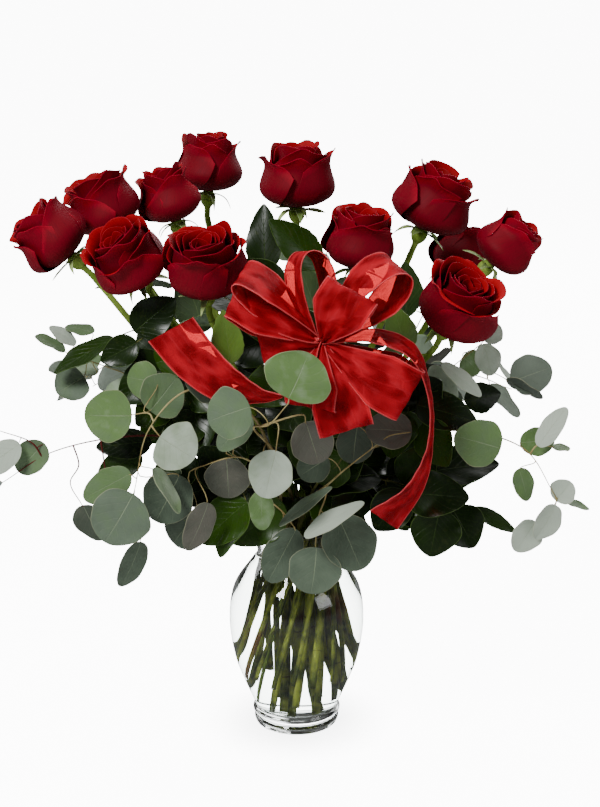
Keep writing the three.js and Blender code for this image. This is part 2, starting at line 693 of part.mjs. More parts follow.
for (const [name, rose] of Object.entries(ROSES)) {
  rose.bloom = bloomSolid(rose.foot, rose);
  const at = frameAlong(rose.foot, rose.way, rose.spin * DEG);
  const round = [];
  for (const [r, z] of [[0, 6], [12, 3], [24, 9], [33, 20], [34, 32], [35, 44], [36, 56], [26, 60], [14, 60]])
    for (let k = 0; k < 10; k++) {
      const angle = k * 36 * DEG;
      round.push(at(rose.size * r * Math.cos(angle), rose.size * r * Math.sin(angle), rose.size * z));
    }
  take(round, 7, `${name}_bloom`);
  rose.sepals = sepals(rose.foot, rose);
  for (const sepal of rose.sepals) take(sepal.points, 3, name);
}

// ---- Ribbon bow: one length of wired organza in loops, gathered at a knot, with two tails ----------

const KNOT = new THREE.Vector3(22, -152, 416);
const RIBBON_WIDTH = 46;
// Each loop: the way it points from the knot, its length, how wide it opens and its roll.
const LOOPS = [
  { end: [-46, -146, 473], lift: [6, -4, 16], open: 11, roll: -5 },
  { end: [-53, -152, 454], lift: [0, -14, 6], open: 12, roll: 38 },
  { end: [7, -138, 490], lift: [-16, -6, 6], open: 20, roll: -10 },
  { end: [85, -138, 478], lift: [-8, -6, 18], open: 20, roll: 3 },
  { end: [45, -180, 466], lift: [0, -18, 8], open: 13, roll: 5 },
  { end: [42, -172, 345], lift: [0, -14, 4], open: 15, roll: 8 },
  { end: [95, -168, 374], lift: [12, -14, -6], open: 18, roll: -12 },
  { end: [12, -168, 364], lift: [-4, -14, 2], open: 12, roll: 12 },
  { end: [-28, -158, 406], lift: [-2, -10, -8], open: 8, roll: 40 },
];

// Keeps the ribbon's whole width clear of other pieces.
function takeStrip(points, widths, sideways) {
  const steps = points.length - 1;
  for (let i = 0; i <= steps * 4; i++) {
    const k = Math.min(steps - 1, Math.floor(i / 4));
    const side = sideways[k].clone().lerp(sideways[k + 1], i / 4 - k).normalize();
    const middle = points[k].clone().lerp(points[k + 1], i / 4 - k);
    const width = mix(widths[k], widths[k + 1], i / 4 - k);
    for (let w = -3; w <= 3; w++)
      take([middle.clone().addScaledVector(side, (w / 6) * width)], 4, "ribbon_bow");
  }
}

function ribbonStrip(points, widths, sideways) {
  takeStrip(points, widths, sideways);
  const grid = points.map((point, i) => {
    const side = sideways[i].clone().normalize();
    return [-0.5, 0.5].map((w) => point.clone().addScaledVector(side, w * widths[i]));
  });
  return thickGrid(grid, 0.8);
}

function loopStrip(loop) {
  const end = vec(loop.end);
  const axis = end.clone().sub(KNOT);
  const length = axis.length();
  axis.normalize();
  const bulge = vec(loop.lift).addScaledVector(axis, -vec(loop.lift).dot(axis)).normalize();
  const across = axis.clone().cross(bulge);
  const points = [];
  const widths = [];
  const sides = [];
  const count = 6;
  for (let i = 0; i <= count; i++) {
    const t = (i / count) * 2 * Math.PI;
    const out = 0.5 - 0.5 * Math.cos(t);
    const opened = loop.open * Math.sin(t) * (0.35 + 0.65 * out) + (i < count / 2 ? 1.5 : -1.5) * (1 - out);
    points.push(
      KNOT.clone().addScaledVector(axis, 3 + (length - 3) * out).addScaledVector(bulge, opened),
    );
    widths.push(mix(6, RIBBON_WIDTH, Math.min(1, out * 1.5)));
    const twist = loop.roll * DEG * out;
    sides.push(across.clone().applyAxisAngle(axis, twist));
  }
  return ribbonStrip(points, widths, sides);
}

const TAILS = [
  {
    places: [
      [22, -152, 416], [8, -160, 393], [-8, -154, 371], [-29, -146, 367], [-56, -142, 374], [-82, -134, 392],
      [-106, -124, 420],
    ],
    sides: [
      [0, -0.4, 1], [0.4, -0.8, 0.3], [0.2, -0.9, 0.35], [0.2, -0.8, 0.5],
      [0.5, -0.5, 0.7], [0.8, -0.25, 0.5],
      [0.86, -0.1, 0.5],
    ],
    widths: [9, 22, 34, 38, 42, 44, 44],
  },
  {
    places: [
      [22, -152, 416], [63, -160, 424], [97, -152, 408], [112, -146, 371], [114, -138, 326], [103, -130, 282],
      [76, -124, 249],
    ],
    sides: [
      [0, 1, 0.2], [0.1, 1, 0.3], [0.15, 1, 0.1], [0.1, 1, 0],
      [0.2, 1, 0], [0.5, 0.9, -0.3], [0.6, 0.5, -0.6],
    ],
    widths: [9, 22, 34, 38, 38, 38, 40],
  },
];
const ribbonSolids = LOOPS.map(loopStrip);
for (const tail of TAILS) {
  const curve = new THREE.CatmullRomCurve3(tail.places.map(vec), false, "centripetal");
  const sidesCurve = new THREE.CatmullRomCurve3(tail.sides.map(vec), false, "centripetal");
  const steps = tail.places.length + 2;
  const points = [];
  const sides = [];
  const widths = [];
  for (let i = 0; i <= steps; i++) {
    const t = i / steps;
    const at = t * (tail.places.length - 1);
    const k = Math.min(tail.places.length - 2, Math.floor(at));
    points.push(curve.getPoint(t));
    sides.push(sidesCurve.getPoint(t));
    widths.push(mix(tail.widths[k], tail.widths[k + 1], at - k));
  }
  ribbonSolids.push(ribbonStrip(points, widths, sides));
}
const knot = wasm.Manifold.sphere(12, 8).scale([1, 0.8, 1]).translate([KNOT.x, KNOT.y, KNOT.z]);
const stakeTop = stems.bow_stake.upper.at(-1);
const stakeWay = stakeTop.clone().sub(stems.bow_stake.upper.at(-2)).normalize();
const stakeHole = tube(
  [stakeTop.clone().addScaledVector(stakeWay, -30), stakeTop.clone().addScaledVector(stakeWay, 0.4)],
  [2.4, 2.4],
  5,
);
const ribbon = union([knot, ...ribbonSolids]).subtract(stakeHole);
// ---- Leaves seen from the front, each at its own place: [base], [tip], width, [facing] -------------

const FRONT = [0, -1, 0.25];
const LEVEL = [0, -0.25, 1];
const L = (base, tip, width, face = FRONT, kind = "round", more = {}) => ({
  base, tip, width, face, kind, ...more,
});
const PLANTS = {
  salal_01: {
    leaves: [
      L([-142, -62, 402], [-106, -66, 432], 36, [0.2, -1, 0.3], "salal"),
      L([-162, -38, 390], [-216, -60, 368], 30, LEVEL, "salal"),
      L([-130, -52, 298], [-182, -46, 290], 28, FRONT, "salal"),
      L([-140, -42, 283], [-182, -38, 260], 28, FRONT, "salal"),
      L([-140, -60, 392], [-172, -66, 376], 28, FRONT, "salal"),
      L([-112, -56, 352], [-130, -80, 385], 34, [0, -1, 0.6], "salal"),
      L([-84, -52, 320], [-120, -72, 300], 34, [0, -1, 0.6], "salal"),
      L([-70, -34, 305], [-60, -66, 262], 40, [0, -1, 0.4], "salal"),
      L([-96, -42, 335], [-82, -72, 298], 40, [0, -1, 0.4], "salal"),
      L([-100, -46, 342], [-58, -66, 352], 40, [0, -1, 0.4], "salal"),
      L([-124, -56, 372], [-92, -74, 392], 38, [0, -1, 0.4], "salal"),
      L([-122, -54, 366], [-156, -64, 338], 38, [0, -1, 0.4], "salal"),
      L([-100, -42, 330], [-140, -48, 298], 42, [0, -1, 0.3], "salal"),
      L([-112, -48, 345], [-150, -52, 320], 38, [0, -1, 0.3], "salal"),
    ],
  },
  salal_02: {
    leaves: [
      L([-43, -90, 254], [-86, -102, 212], 40, FRONT, "salal"),
      L([-12, -75, 248], [-58, -92, 213], 42, FRONT, "salal"),
      L([-88, -82, 292], [-122, -64, 262], 36, [-0.3, -1, 0.3], "salal"),
      L([-60, -80, 266], [-84, -72, 300], 38, [0, -1, 0.3], "salal"),
      L([-90, -70, 288], [-136, -60, 284], 40, [0, -1, 0.3], "salal"),
      L([-64, -62, 262], [-106, -62, 248], 38, [0, -1, 0.3], "salal"),
    ],
  },
  salal_03: {
    leaves: [
      L([-27, -34, 446], [-30, -20, 508], 32, [-0.2, -1, 0.1], "rose"),
      L([22, -30, 452], [-22, -40, 497], 32, [0.1, -1, 0.3], "rose"),
      L([-10, -44, 434], [-52, -52, 462], 34, [0, -1, 0.4], "salal"),
      L([-14, -40, 400], [-56, -66, 418], 36, [0, -1, 0.6], "salal"),
      L([-8, -30, 320], [-40, -62, 290], 42, [0, -1, 0.4], "salal"),
      L([-10, -32, 350], [-52, -60, 330], 42, [0, -1, 0.4], "salal"),
      L([-6, -30, 330], [42, -62, 312], 42, [0, -1, 0.4], "salal"),
      L([-12, -34, 372], [36, -64, 360], 42, [0, -1, 0.4], "salal"),
      L([-20, -36, 390], [-66, -58, 380], 40, [0, -1, 0.4], "salal"),
      L([-14, -40, 396], [28, -72, 408], 40, [0, -1, 0.4], "salal"),
      L([-10, -36, 302], [-44, -56, 268], 40, [0, -1, 0.3], "salal"),
    ],
  },
  salal_04: {
    leaves: [
      L([113, -70, 274], [182, -62, 284], 40, [0, -0.7, 0.8], "salal"),
      L([95, -92, 263], [152, -100, 262], 42, [0, -0.9, 0.5], "salal"),
      L([128, -82, 244], [120, -88, 200], 46, FRONT, "salal"),
      L([140, -66, 240], [160, -78, 206], 42, FRONT, "salal"),
      L([131, -60, 220], [126, -66, 194], 12, FRONT, "rose"),
      L([160, -60, 238], [200, -62, 214], 14, FRONT, "rose"),
      L([96, -84, 262], [70, -80, 222], 38, FRONT, "salal"),
      L([62, -46, 258], [36, -72, 228], 38, [0, -1, 0.3], "salal"),
      L([96, -64, 262], [120, -76, 300], 38, [0, -1, 0.3], "salal"),
      L([80, -56, 260], [100, -76, 222], 38, [0, -1, 0.3], "salal"),
    ],
  },
  salal_05: {
    leaves: [
      L([105, -85, 342], [158, -84, 326], 34, [0, -0.9, 0.5], "salal"),
      L([112, -88, 327], [134, -90, 288], 36, FRONT, "salal"),
      L([150, -48, 335], [184, -42, 340], 28, FRONT, "rose"),
      L([96, -74, 330], [84, -88, 292], 36, FRONT, "salal"),
      L([92, -64, 338], [70, -84, 372], 34, FRONT, "salal"),
      L([60, -40, 305], [64, -72, 264], 40, [0, -1, 0.4], "salal"),
      L([84, -54, 322], [112, -74, 288], 40, [0, -1, 0.4], "salal"),
      L([84, -56, 324], [58, -78, 354], 40, [0, -1, 0.4], "salal"),
      L([104, -60, 334], [134, -78, 366], 40, [0, -1, 0.4], "salal"),
    ],
  },
  salal_06: {
    leaves: [
      L([42, -86, 296], [8, -98, 262], 38, FRONT, "salal"),
      L([46, -92, 330], [14, -104, 356], 34, FRONT, "salal"),
      L([48, -92, 342], [66, -104, 382], 32, FRONT, "salal"),
      L([30, -70, 280], [-8, -78, 304], 38, [0, -1, 0.3], "salal"),
      L([20, -48, 286], [-8, -62, 252], 38, [0, -1, 0.3], "salal"),
    ],
  },
  eucalyptus_01: {
    twigs: [[[-128, -98, 338], [-143, -95, 336]], [[-122, -110, 326], [-118, -110, 321]]],
    leaves: [
      L([-143, -95, 335], [-186, -90, 334], 46),
      L([-122, -76, 360], [-150, -66, 362], 34, [-0.2, -1, 0.3]),
      L([-128, -84, 336], [-104, -74, 364], 42, [0.2, -1, 0.2]),
      L([-118, -112, 321], [-88, -124, 306], 46, [0.45, -1, 0.2]),
      L([-142, -112, 269], [-168, -120, 226], 54),
      L([-145, -98, 283], [-190, -92, 258], 30, [-0.3, -1, 0.4]),
      L([-137, -105, 222], [-156, -95, 172], 24, [0.4, -1, 0], "round"),
      L([-102, -98, 282], [-126, -92, 234], 46),
      L([-124, -116, 294], [-98, -126, 258], 24, [0.9, -0.35, 0.4], "round"),
      L([-115, -95, 306], [-104, -92, 279], 22, [-0.8, -0.5, 0.2], "round"),
    ],
  },
  eucalyptus_02: {
    twigs: [
      [[-195, -60, 278], [-203, -61, 262], [-193, -62, 241]],
      [[-236, -62, 300], [-264, -62, 311]],
      [[-172, -60, 280], [-170, -60, 262]],
    ],
    leaves: [
      L([-192, -62, 241], [-178, -55, 202], 32, [-0.3, -1, 0.2]),
      L([-225, -58, 298], [-250, -62, 272], 30, [-0.2, -1, 0.1]),
      L([-246, -66, 300], [-288, -74, 274], 28, [-0.2, -1, 0.3]),
      L([-264, -62, 262], [-292, -60, 246], 22, LEVEL, "round"),
    ],
  },
  eucalyptus_03: {
    twigs: [[[-16, -152, 346], [-17, -150, 321]], [[6, -142, 350], [8, -134, 341]]],
    leaves: [
      L([-6, -195, 380], [10, -197, 418], 57, [0, -1, 0.15]),
      L([-38, -172, 366], [-74, -168, 352], 44, [-0.1, -0.9, 0.3]),
      L([-17, -150, 321], [-27, -148, 276], 38),
      L([-31, -128, 277], [-29, -122, 237], 22, FRONT, "round"),
      L([8, -132, 341], [20, -122, 298], 38),
    ],
  },
  eucalyptus_04: {
    leaves: [
      L([-208, -24, 374], [-233, -26, 391], 22, [0.3, -0.2, 1], "round"),
      L([-190, -38, 354], [-213, -52, 344], 36, [-0.2, -1, 0.5]),
      L([-180, -20, 352], [-206, -10, 361], 24, [0.3, -0.35, 1], "round"),
      L([-200, -14, 377], [-222, -8, 395], 20, [0.5, -0.4, 0.8], "round"),
      L([-184, -8, 387], [-210, 4, 393], 22, [0.2, -0.3, 1], "round"),
      L([-140, -58, 342], [-171, -46, 346], 28, [-0.1, -0.9, 0.6]),
      L([-150, -36, 362], [-172, -34, 372], 20, [0, -0.5, 1], "round"),
    ],
  },
  eucalyptus_05: {
    twigs: [
      [[176, -103, 310]],
      [[212, -88, 306], [226, -84, 303]],
    ],
    leaves: [
      L([178, -104, 308], [138, -114, 322], 42),
      L([197, -82, 306], [230, -74, 306], 26, [0.1, -1, 0.3]),
      L([212, -92, 306], [236, -84, 340], 20, [-0.6, -0.9, 0.1]),
      L([196, -90, 285], [206, -92, 255], 20, [0.4, -1, 0], "round"),
      L([211, -102, 240], [194, -110, 214], 28, [0.2, -1, 0.1]),
      L([228, -98, 258], [242, -94, 274], 24, [-0.3, -1, 0.2], "round"),
      L([228, -104, 256], [212, -112, 226], 26, [0.4, -1, 0]),
      L([226, -84, 302], [242, -78, 302], 14, LEVEL, "round"),
      L([238, -96, 256], [260, -92, 250], 14, LEVEL, "round"),
    ],
  },
  eucalyptus_06: {
    leaves: [
      L([167, -40, 388], [181, -36, 402], 22, [-0.3, -1, 0.1], "round"),
      L([166, -46, 387], [174, -54, 360], 24, [0.2, -1, 0.1]),
      L([150, -22, 369], [168, -12, 350], 26, [0.3, -1, 0.2]),
      L([117, -70, 372], [144, -68, 342], 20, [0.2, -1, 0.6]),
      L([128, -62, 347], [142, -52, 326], 26, [0.2, -1, 0.2]),
      L([127, -77, 377], [164, -82, 351], 18, [0.1, -0.7, 1], "round"),
    ],
  },
  eucalyptus_07: {
    twigs: [[[26, -88, 258], [19, -96, 240], [17, -97, 216]]],
    leaves: [
      L([100, -114, 326], [60, -110, 328], 34, [0, -1, 0.5]),
      L([53, -102, 328], [50, -90, 292], 34),
      L([28, -94, 296], [2, -88, 276], 28, FRONT, "round"),
      L([7, -122, 233], [56, -120, 268], 26, [-0.5, -0.35, 1]),
      L([37, -94, 242], [58, -104, 194], 48),
      L([18, -98, 214], [13, -106, 172], 48),
    ],
  },
  eucalyptus_08: {
    twigs: [[[-30, -84, 262], [-10, -84, 240], [-2, -84, 228]]],
    leaves: [
      L([0, -84, 226], [-26, -92, 178], 34, [-0.2, -1, 0.1]),
      L([-77, -110, 260], [-94, -114, 215], 28, [0.5, -1, 0.1]),
      L([-89, -86, 240], [-112, -76, 208], 38, [-0.2, -1, 0.2]),
      L([-39, -121, 343], [-67, -123, 312], 24, [0.6, -0.5, 0.8], "round"),
      L([-15, -112, 239], [28, -106, 277], 20, [-0.6, -0.3, 1], "round"),
      L([-61, -98, 297], [-60, -92, 256], 40),
      L([-58, -96, 365], [-101, -90, 377], 40),
    ],
  },
};

// ---- Leaves by rule, for the sides, the back and the inside of the bunch ---------------------------

const LEAF_SIZES = {
  round: { length: [30, 46], ratio: 0.95, stalk: 10 },
  salal: { length: [58, 78], ratio: 0.7, stalk: 6 },
  rose: { length: [38, 52], ratio: 0.62, stalk: 12 },
};

// Leaves set round a line of points at the golden angle, from one share of its length to another.
function leavesAlong(line, count, kind, from, to, seed) {
  const curve = new THREE.CatmullRomCurve3(line, false, "centripetal");
  const rule = LEAF_SIZES[kind];
  return Array.from({ length: count }, (_, k) => {
    const t = mix(from, to, (k + 0.5) / count);
    const place = curve.getPointAt(Math.min(1, t));
    const way = curve.getTangentAt(Math.min(1, t));
    const turn = (137.5 * k + 57 * seed) * DEG;
    const away = new THREE.Vector3(place.x, place.y, 0).normalize();
    const out = new THREE.Vector3(Math.cos(turn), Math.sin(turn), 0);
    out.addScaledVector(way, -out.dot(way)).normalize();
    out.addScaledVector(away, 0.75).addScaledVector(way, 0.25);
    out.z += kind === "round" ? mix(-0.7, 0.3, vary(k + 5 * seed)) : mix(-0.15, 0.35, vary(k + 5 * seed));
    out.normalize();
    const length = mix(...rule.length, vary(3 * k + seed));
    const base = place.clone().addScaledVector(out, rule.stalk);
    const tip = base.clone().addScaledVector(out, length);
    const face = away.clone().multiplyScalar(kind === "round" ? 1 : 0.6);
    face.z += kind === "round" ? mix(-0.2, 0.9, vary(k + 2.5 * seed)) : 0.9;
    face.x += mix(-0.5, 0.5, vary(7 * k + seed));
    face.addScaledVector(out, -face.dot(out)).normalize();
    return {
      base: base.toArray(),
      tip: tip.toArray(),
      width: length * rule.ratio,
      face: face.toArray(),
      kind,
      bend: kind === "round" ? 0.05 : 0.16,
      far: true,
    };
  });
}

// Side twigs by rule, so that an eucalyptus branch spreads.
function twigsAlong(line, count, seed) {
  const curve = new THREE.CatmullRomCurve3(line, false, "centripetal");
  return Array.from({ length: count }, (_, k) => {
    const t = 0.4 + (0.5 * (k + 0.5)) / count;
    const place = curve.getPointAt(t);
    const way = curve.getTangentAt(t);
    const turn = (180 * k + 67 * seed) * DEG;
    const away = new THREE.Vector3(place.x, place.y, 0).normalize();
    const out = new THREE.Vector3(Math.cos(turn), Math.sin(turn), 0.1).addScaledVector(away, 0.6);
    out.addScaledVector(way, 0.5).normalize();
    const mid = place.clone().addScaledVector(out, 26);
    const end = mid.clone().addScaledVector(out, 24).add(new THREE.Vector3(0, 0, -12));
    return [mid.toArray(), end.toArray()];
  });
}

const FILL = {
  salal_01: [0, 0, 1], salal_02: [2, 0.3, 0.6], salal_03: [3, 0.3, 0.6], salal_04: [5, 0.2, 0.95],
  salal_05: [0, 0, 1], salal_06: [2, 0.1, 0.4], salal_07: [7, 0.15, 1], salal_08: [7, 0.2, 1],
  salal_09: [7, 0.15, 1],
};
const FILL_EUCALYPTUS = {
  eucalyptus_01: [0, 0, 1], eucalyptus_02: [0, 0, 1], eucalyptus_03: [0, 0, 1],
  eucalyptus_04: [0, 0, 1], eucalyptus_05: [0, 0, 1], eucalyptus_06: [1, 0.35, 0.6],
  eucalyptus_07: [0, 0, 1], eucalyptus_08: [0, 0, 1], eucalyptus_09: [7, 0.3, 1],
  eucalyptus_10: [7, 0.3, 1],
};

const grown = {};
for (const [name, plant] of Object.entries(PLANTS)) {
  grown[name] = { stem: stems[name], ...plant };
}
// The leaves placed by hand come first on every plant, then the rest.
const solids = {};
const eucalyptusFirst = Object.keys(grown).sort((a, b) => (a < b ? -1 : 1));
for (const name of eucalyptusFirst) solids[name] = grow(name, grown[name]);
const roseLeaves = {
  rose_06: [L([-56, -102, 384], [-62, -112, 432], 28, FRONT, "rose")],
  rose_07: [L([24, 14, 438], [30, 10, 498], 30, [-0.2, -1, 0.1], "rose")],
  rose_09: [L([98, -20, 404], [94, -34, 462], 30, [0.2, -1, 0.1], "rose")],
  rose_11: [L([96, -70, 384], [84, -72, 428], 28, FRONT, "rose")],
};
let seed = 0;
for (const name of Object.keys(ROSES)) {
  seed += 1;
  const { upper } = stems[name];
  const fill = roseLeaves[name] ? [] : leavesAlong(upper, 1, "rose", 0.4, 0.8, seed);
  const extra = ROSES[name].sepals.map((sepal) => sepal.solid);
  solids[name] = grow(name, { stem: stems[name], leaves: [...(roseLeaves[name] ?? []), ...fill], extra });
}
for (const [name, [count, from, to]] of Object.entries(FILL)) {
  seed += 1;
  const leaves = leavesAlong(stems[name].upper, count, "salal", from, to, seed);
  solids[name] = grow(name, { stem: { ...stems[name], solid: solids[name] ?? stems[name].solid }, leaves });
}
for (const [name, [count, from, to]] of Object.entries(FILL_EUCALYPTUS)) {
  seed += 1;
  const line = stems[name].upper;
  const twigs = count > 6 ? twigsAlong(line, 2, seed) : [];
  const leaves = leavesAlong(line, count, "round", from, to, seed);
  for (const twig of twigs) {
    const [mid, end] = twig.map(vec);
    leaves.push(...leavesAlong([mid, mid.clone().lerp(end, 0.5), end], 2, "round", 0.2, 1, seed));
    seed += 1;
  }
  const stem = { ...stems[name], solid: solids[name] ?? stems[name].solid };
  solids[name] = grow(name, { stem, twigs, leaves });
}

// ---- Water, with a plain hole for every stem -------------------------------------------------------

const waterHeights = [FLOOR_Z + 5, 46, 70, 105, 138, 156, WATER_Z];
const waterProfile = [
  [0, FLOOR_Z + 0.3],
  [25.6, FLOOR_Z + 0.3],
  ...waterHeights.map((z) => [insideRadius(z) - 0.35, z]),
  [0, WATER_Z],
];
const water = turned(waterProfile, VASE_SIDES).subtract(union(holes));
addNode("vase_water", water, "water");

for (const name of Object.keys(ROSES)) {
  addNode(`${name}_stem`, solids[name], "roseStem", 0.2);
  addNode(`${name}_bloom`, ROSES[name].bloom, "petal", 0.2);
}
for (const name of Object.keys(FILL)) addNode(name, solids[name], "salal", 0.25);
for (const name of Object.keys(FILL_EUCALYPTUS)) addNode(name, solids[name], "eucalyptus", 0.25);
addNode("bow_stake", stems.bow_stake.solid, "stake");
addNode("ribbon_bow", ribbon, "organza");

export default bouquet;
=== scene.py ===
"""A dozen red roses with salal leaves, silver-dollar eucalyptus and an organza bow, standing in the
water of a clear glass vase. Sizes are in millimetres and become metres when a mesh is made. +Z is up,
-Y is towards the viewer, and the origin is the middle of the vase's underside."""

import math

import bmesh
import bpy
import numpy as np
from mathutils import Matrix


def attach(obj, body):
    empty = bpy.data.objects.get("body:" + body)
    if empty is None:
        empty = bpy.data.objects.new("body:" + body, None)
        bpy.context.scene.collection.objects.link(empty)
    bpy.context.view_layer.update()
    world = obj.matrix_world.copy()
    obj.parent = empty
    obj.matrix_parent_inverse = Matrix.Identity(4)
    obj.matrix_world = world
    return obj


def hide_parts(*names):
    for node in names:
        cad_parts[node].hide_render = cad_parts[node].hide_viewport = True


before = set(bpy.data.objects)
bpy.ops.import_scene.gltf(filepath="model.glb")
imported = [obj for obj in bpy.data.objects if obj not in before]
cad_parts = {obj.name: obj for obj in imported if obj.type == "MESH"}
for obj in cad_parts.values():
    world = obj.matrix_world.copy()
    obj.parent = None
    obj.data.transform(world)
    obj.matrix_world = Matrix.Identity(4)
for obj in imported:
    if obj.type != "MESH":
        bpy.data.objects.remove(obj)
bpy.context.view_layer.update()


# ---- The vase: clear pressed glass with a thick ringed foot, a full body, a narrow neck and a flared
# mouth. It is one piece, polished at the rim, and stands on the edge of its hollowed underside.

FLOOR_Z, NECK_Z, RIM_Z, WALL = 14.0, 174.0, 206.0, 3.0
SIDES = 96  # of the vase and the water, all round
POINT = 0.004  # the radius that stands for none, where a turned shape or a stem closes


def smooth_profile(places, steps):
    """A curve through places: between two of them it is the cubic that leaves each in the direction
    from the place before it to the place after it, sampled `steps` times."""
    p = np.asarray(places, float)
    p = np.vstack([2 * p[0] - p[1], p, 2 * p[-1] - p[-2]])
    t = np.linspace(0, 1, steps, endpoint=False)[None, :, None]
    a, b, c, d = (p[i : len(p) - 3 + i, None, :] for i in range(4))
    cubic = 2 * b + (c - a) * t + (2 * a - 5 * b + 4 * c - d) * t**2 + (3 * b - a - 3 * c + d) * t**3
    return np.vstack([0.5 * cubic.reshape(-1, p.shape[1]), p[-2]])


def grid_cells(rows, columns, closed=False):
    """The four corners of every cell of a grid whose points are numbered row by row. A closed grid
    joins its last column to its first."""
    across = columns if closed else columns - 1
    i, j = np.meshgrid(np.arange(rows - 1), np.arange(across), indexing="ij")
    k = (j + 1) % columns
    corners = [i * columns + j, i * columns + k, (i + 1) * columns + k, (i + 1) * columns + j]
    return np.stack(corners, -1).reshape(-1, 4)


def turned(profile, sides):
    """A profile of (radius, height) carried round the z axis: x = r cos a, y = r sin a."""
    angle = np.linspace(0, 2 * np.pi, sides, endpoint=False)[None, :]
    r, z = np.maximum(profile[:, :1], POINT), profile[:, 1:]
    return np.stack([r * np.cos(angle), r * np.sin(angle), z + 0 * angle], -1)


def part(grid, slot=0, uv=None, tint=0.5, closed=False):
    """A grid of points as one part of a piece, with its material's number, a UV pair for each point
    and one tint from 0 to 1 for the whole part."""
    rows, columns = grid.shape[:2]
    uv = np.zeros((rows, columns, 2)) if uv is None else uv
    return grid.reshape(-1, 3), grid_cells(rows, columns, closed), slot, uv.reshape(-1, 2), tint


def new_piece(name, parts, materials, solid):
    """One object from parts. Points that lie on each other, as at a pole or a leaf's tip, are merged,
    and a solid piece has its faces turned outwards."""
    points, cells, slots, uvs, tints, start = [], [], [], [], [], 0
    for place, faces, slot, uv, tint in parts:
        points.append(place)
        cells.append(faces + start)
        slots.append(np.full(len(faces), slot))
        uvs.append(uv[faces].reshape(-1, 2))
        tints.append(np.full(len(place), tint))
        start += len(place)
    mesh = bpy.data.meshes.new(name)
    mesh.from_pydata((np.vstack(points) / 1000).tolist(), [], np.vstack(cells).tolist())
    mesh.polygons.foreach_set("material_index", np.concatenate(slots).astype(np.int32))
    mesh.polygons.foreach_set("use_smooth", np.ones(len(mesh.polygons), bool))
    pairs = mesh.uv_layers.new(name="UVMap").data
    pairs.foreach_set("uv", np.concatenate(uvs).astype(np.float32).ravel())
    tint = mesh.attributes.new("tint", "FLOAT", "POINT")
    tint.data.foreach_set("value", np.concatenate(tints).astype(np.float32))
    for material in materials:
        mesh.materials.append(material)
    shape = bmesh.new()
    shape.from_mesh(mesh)
    bmesh.ops.remove_doubles(shape, verts=shape.verts, dist=0.00002)
    bmesh.ops.dissolve_degenerate(shape, edges=shape.edges, dist=0.000001)
    if solid:
        bmesh.ops.recalc_face_normals(shape, faces=shape.faces)
    shape.to_mesh(mesh)
    shape.free()
    piece = bpy.data.objects.new(name, mesh)
    bpy.context.scene.collection.objects.link(piece)
    return piece


def settle(piece, slot, *nodes):
    """Every piece of the bouquet rides on the one body and may stand for nodes, whose solids it hides.
    Its slot, the name of its finish, is not used.
    """
    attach(piece, "root")
    if nodes:
        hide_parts(*nodes)


class Value:
    """A number that runs through a material: + - * and abs() on it add Math nodes."""

    def __init__(self, paint, link):
        self.paint, self.link = paint, link

    def sum(self, operation, *terms):
        return self.paint.node("ShaderNodeMath", {"operation": operation}, dict(enumerate(terms)))[0]

    def __add__(self, other):
        return self.sum("ADD", self, other)

    def __radd__(self, other):
        return self.sum("ADD", other, self)

    def __sub__(self, other):
        return self.sum("SUBTRACT", self, other)

    def __rsub__(self, other):
        return self.sum("SUBTRACT", other, self)

    def __mul__(self, other):
        return self.sum("MULTIPLY", self, other)

    def __rmul__(self, other):
        return self.sum("MULTIPLY", other, self)

    def __abs__(self):
        return self.sum("ABSOLUTE", self)

    def turns(self):
        """What is left of it when its whole turns are taken off."""
        return self.sum("FRACT", self)


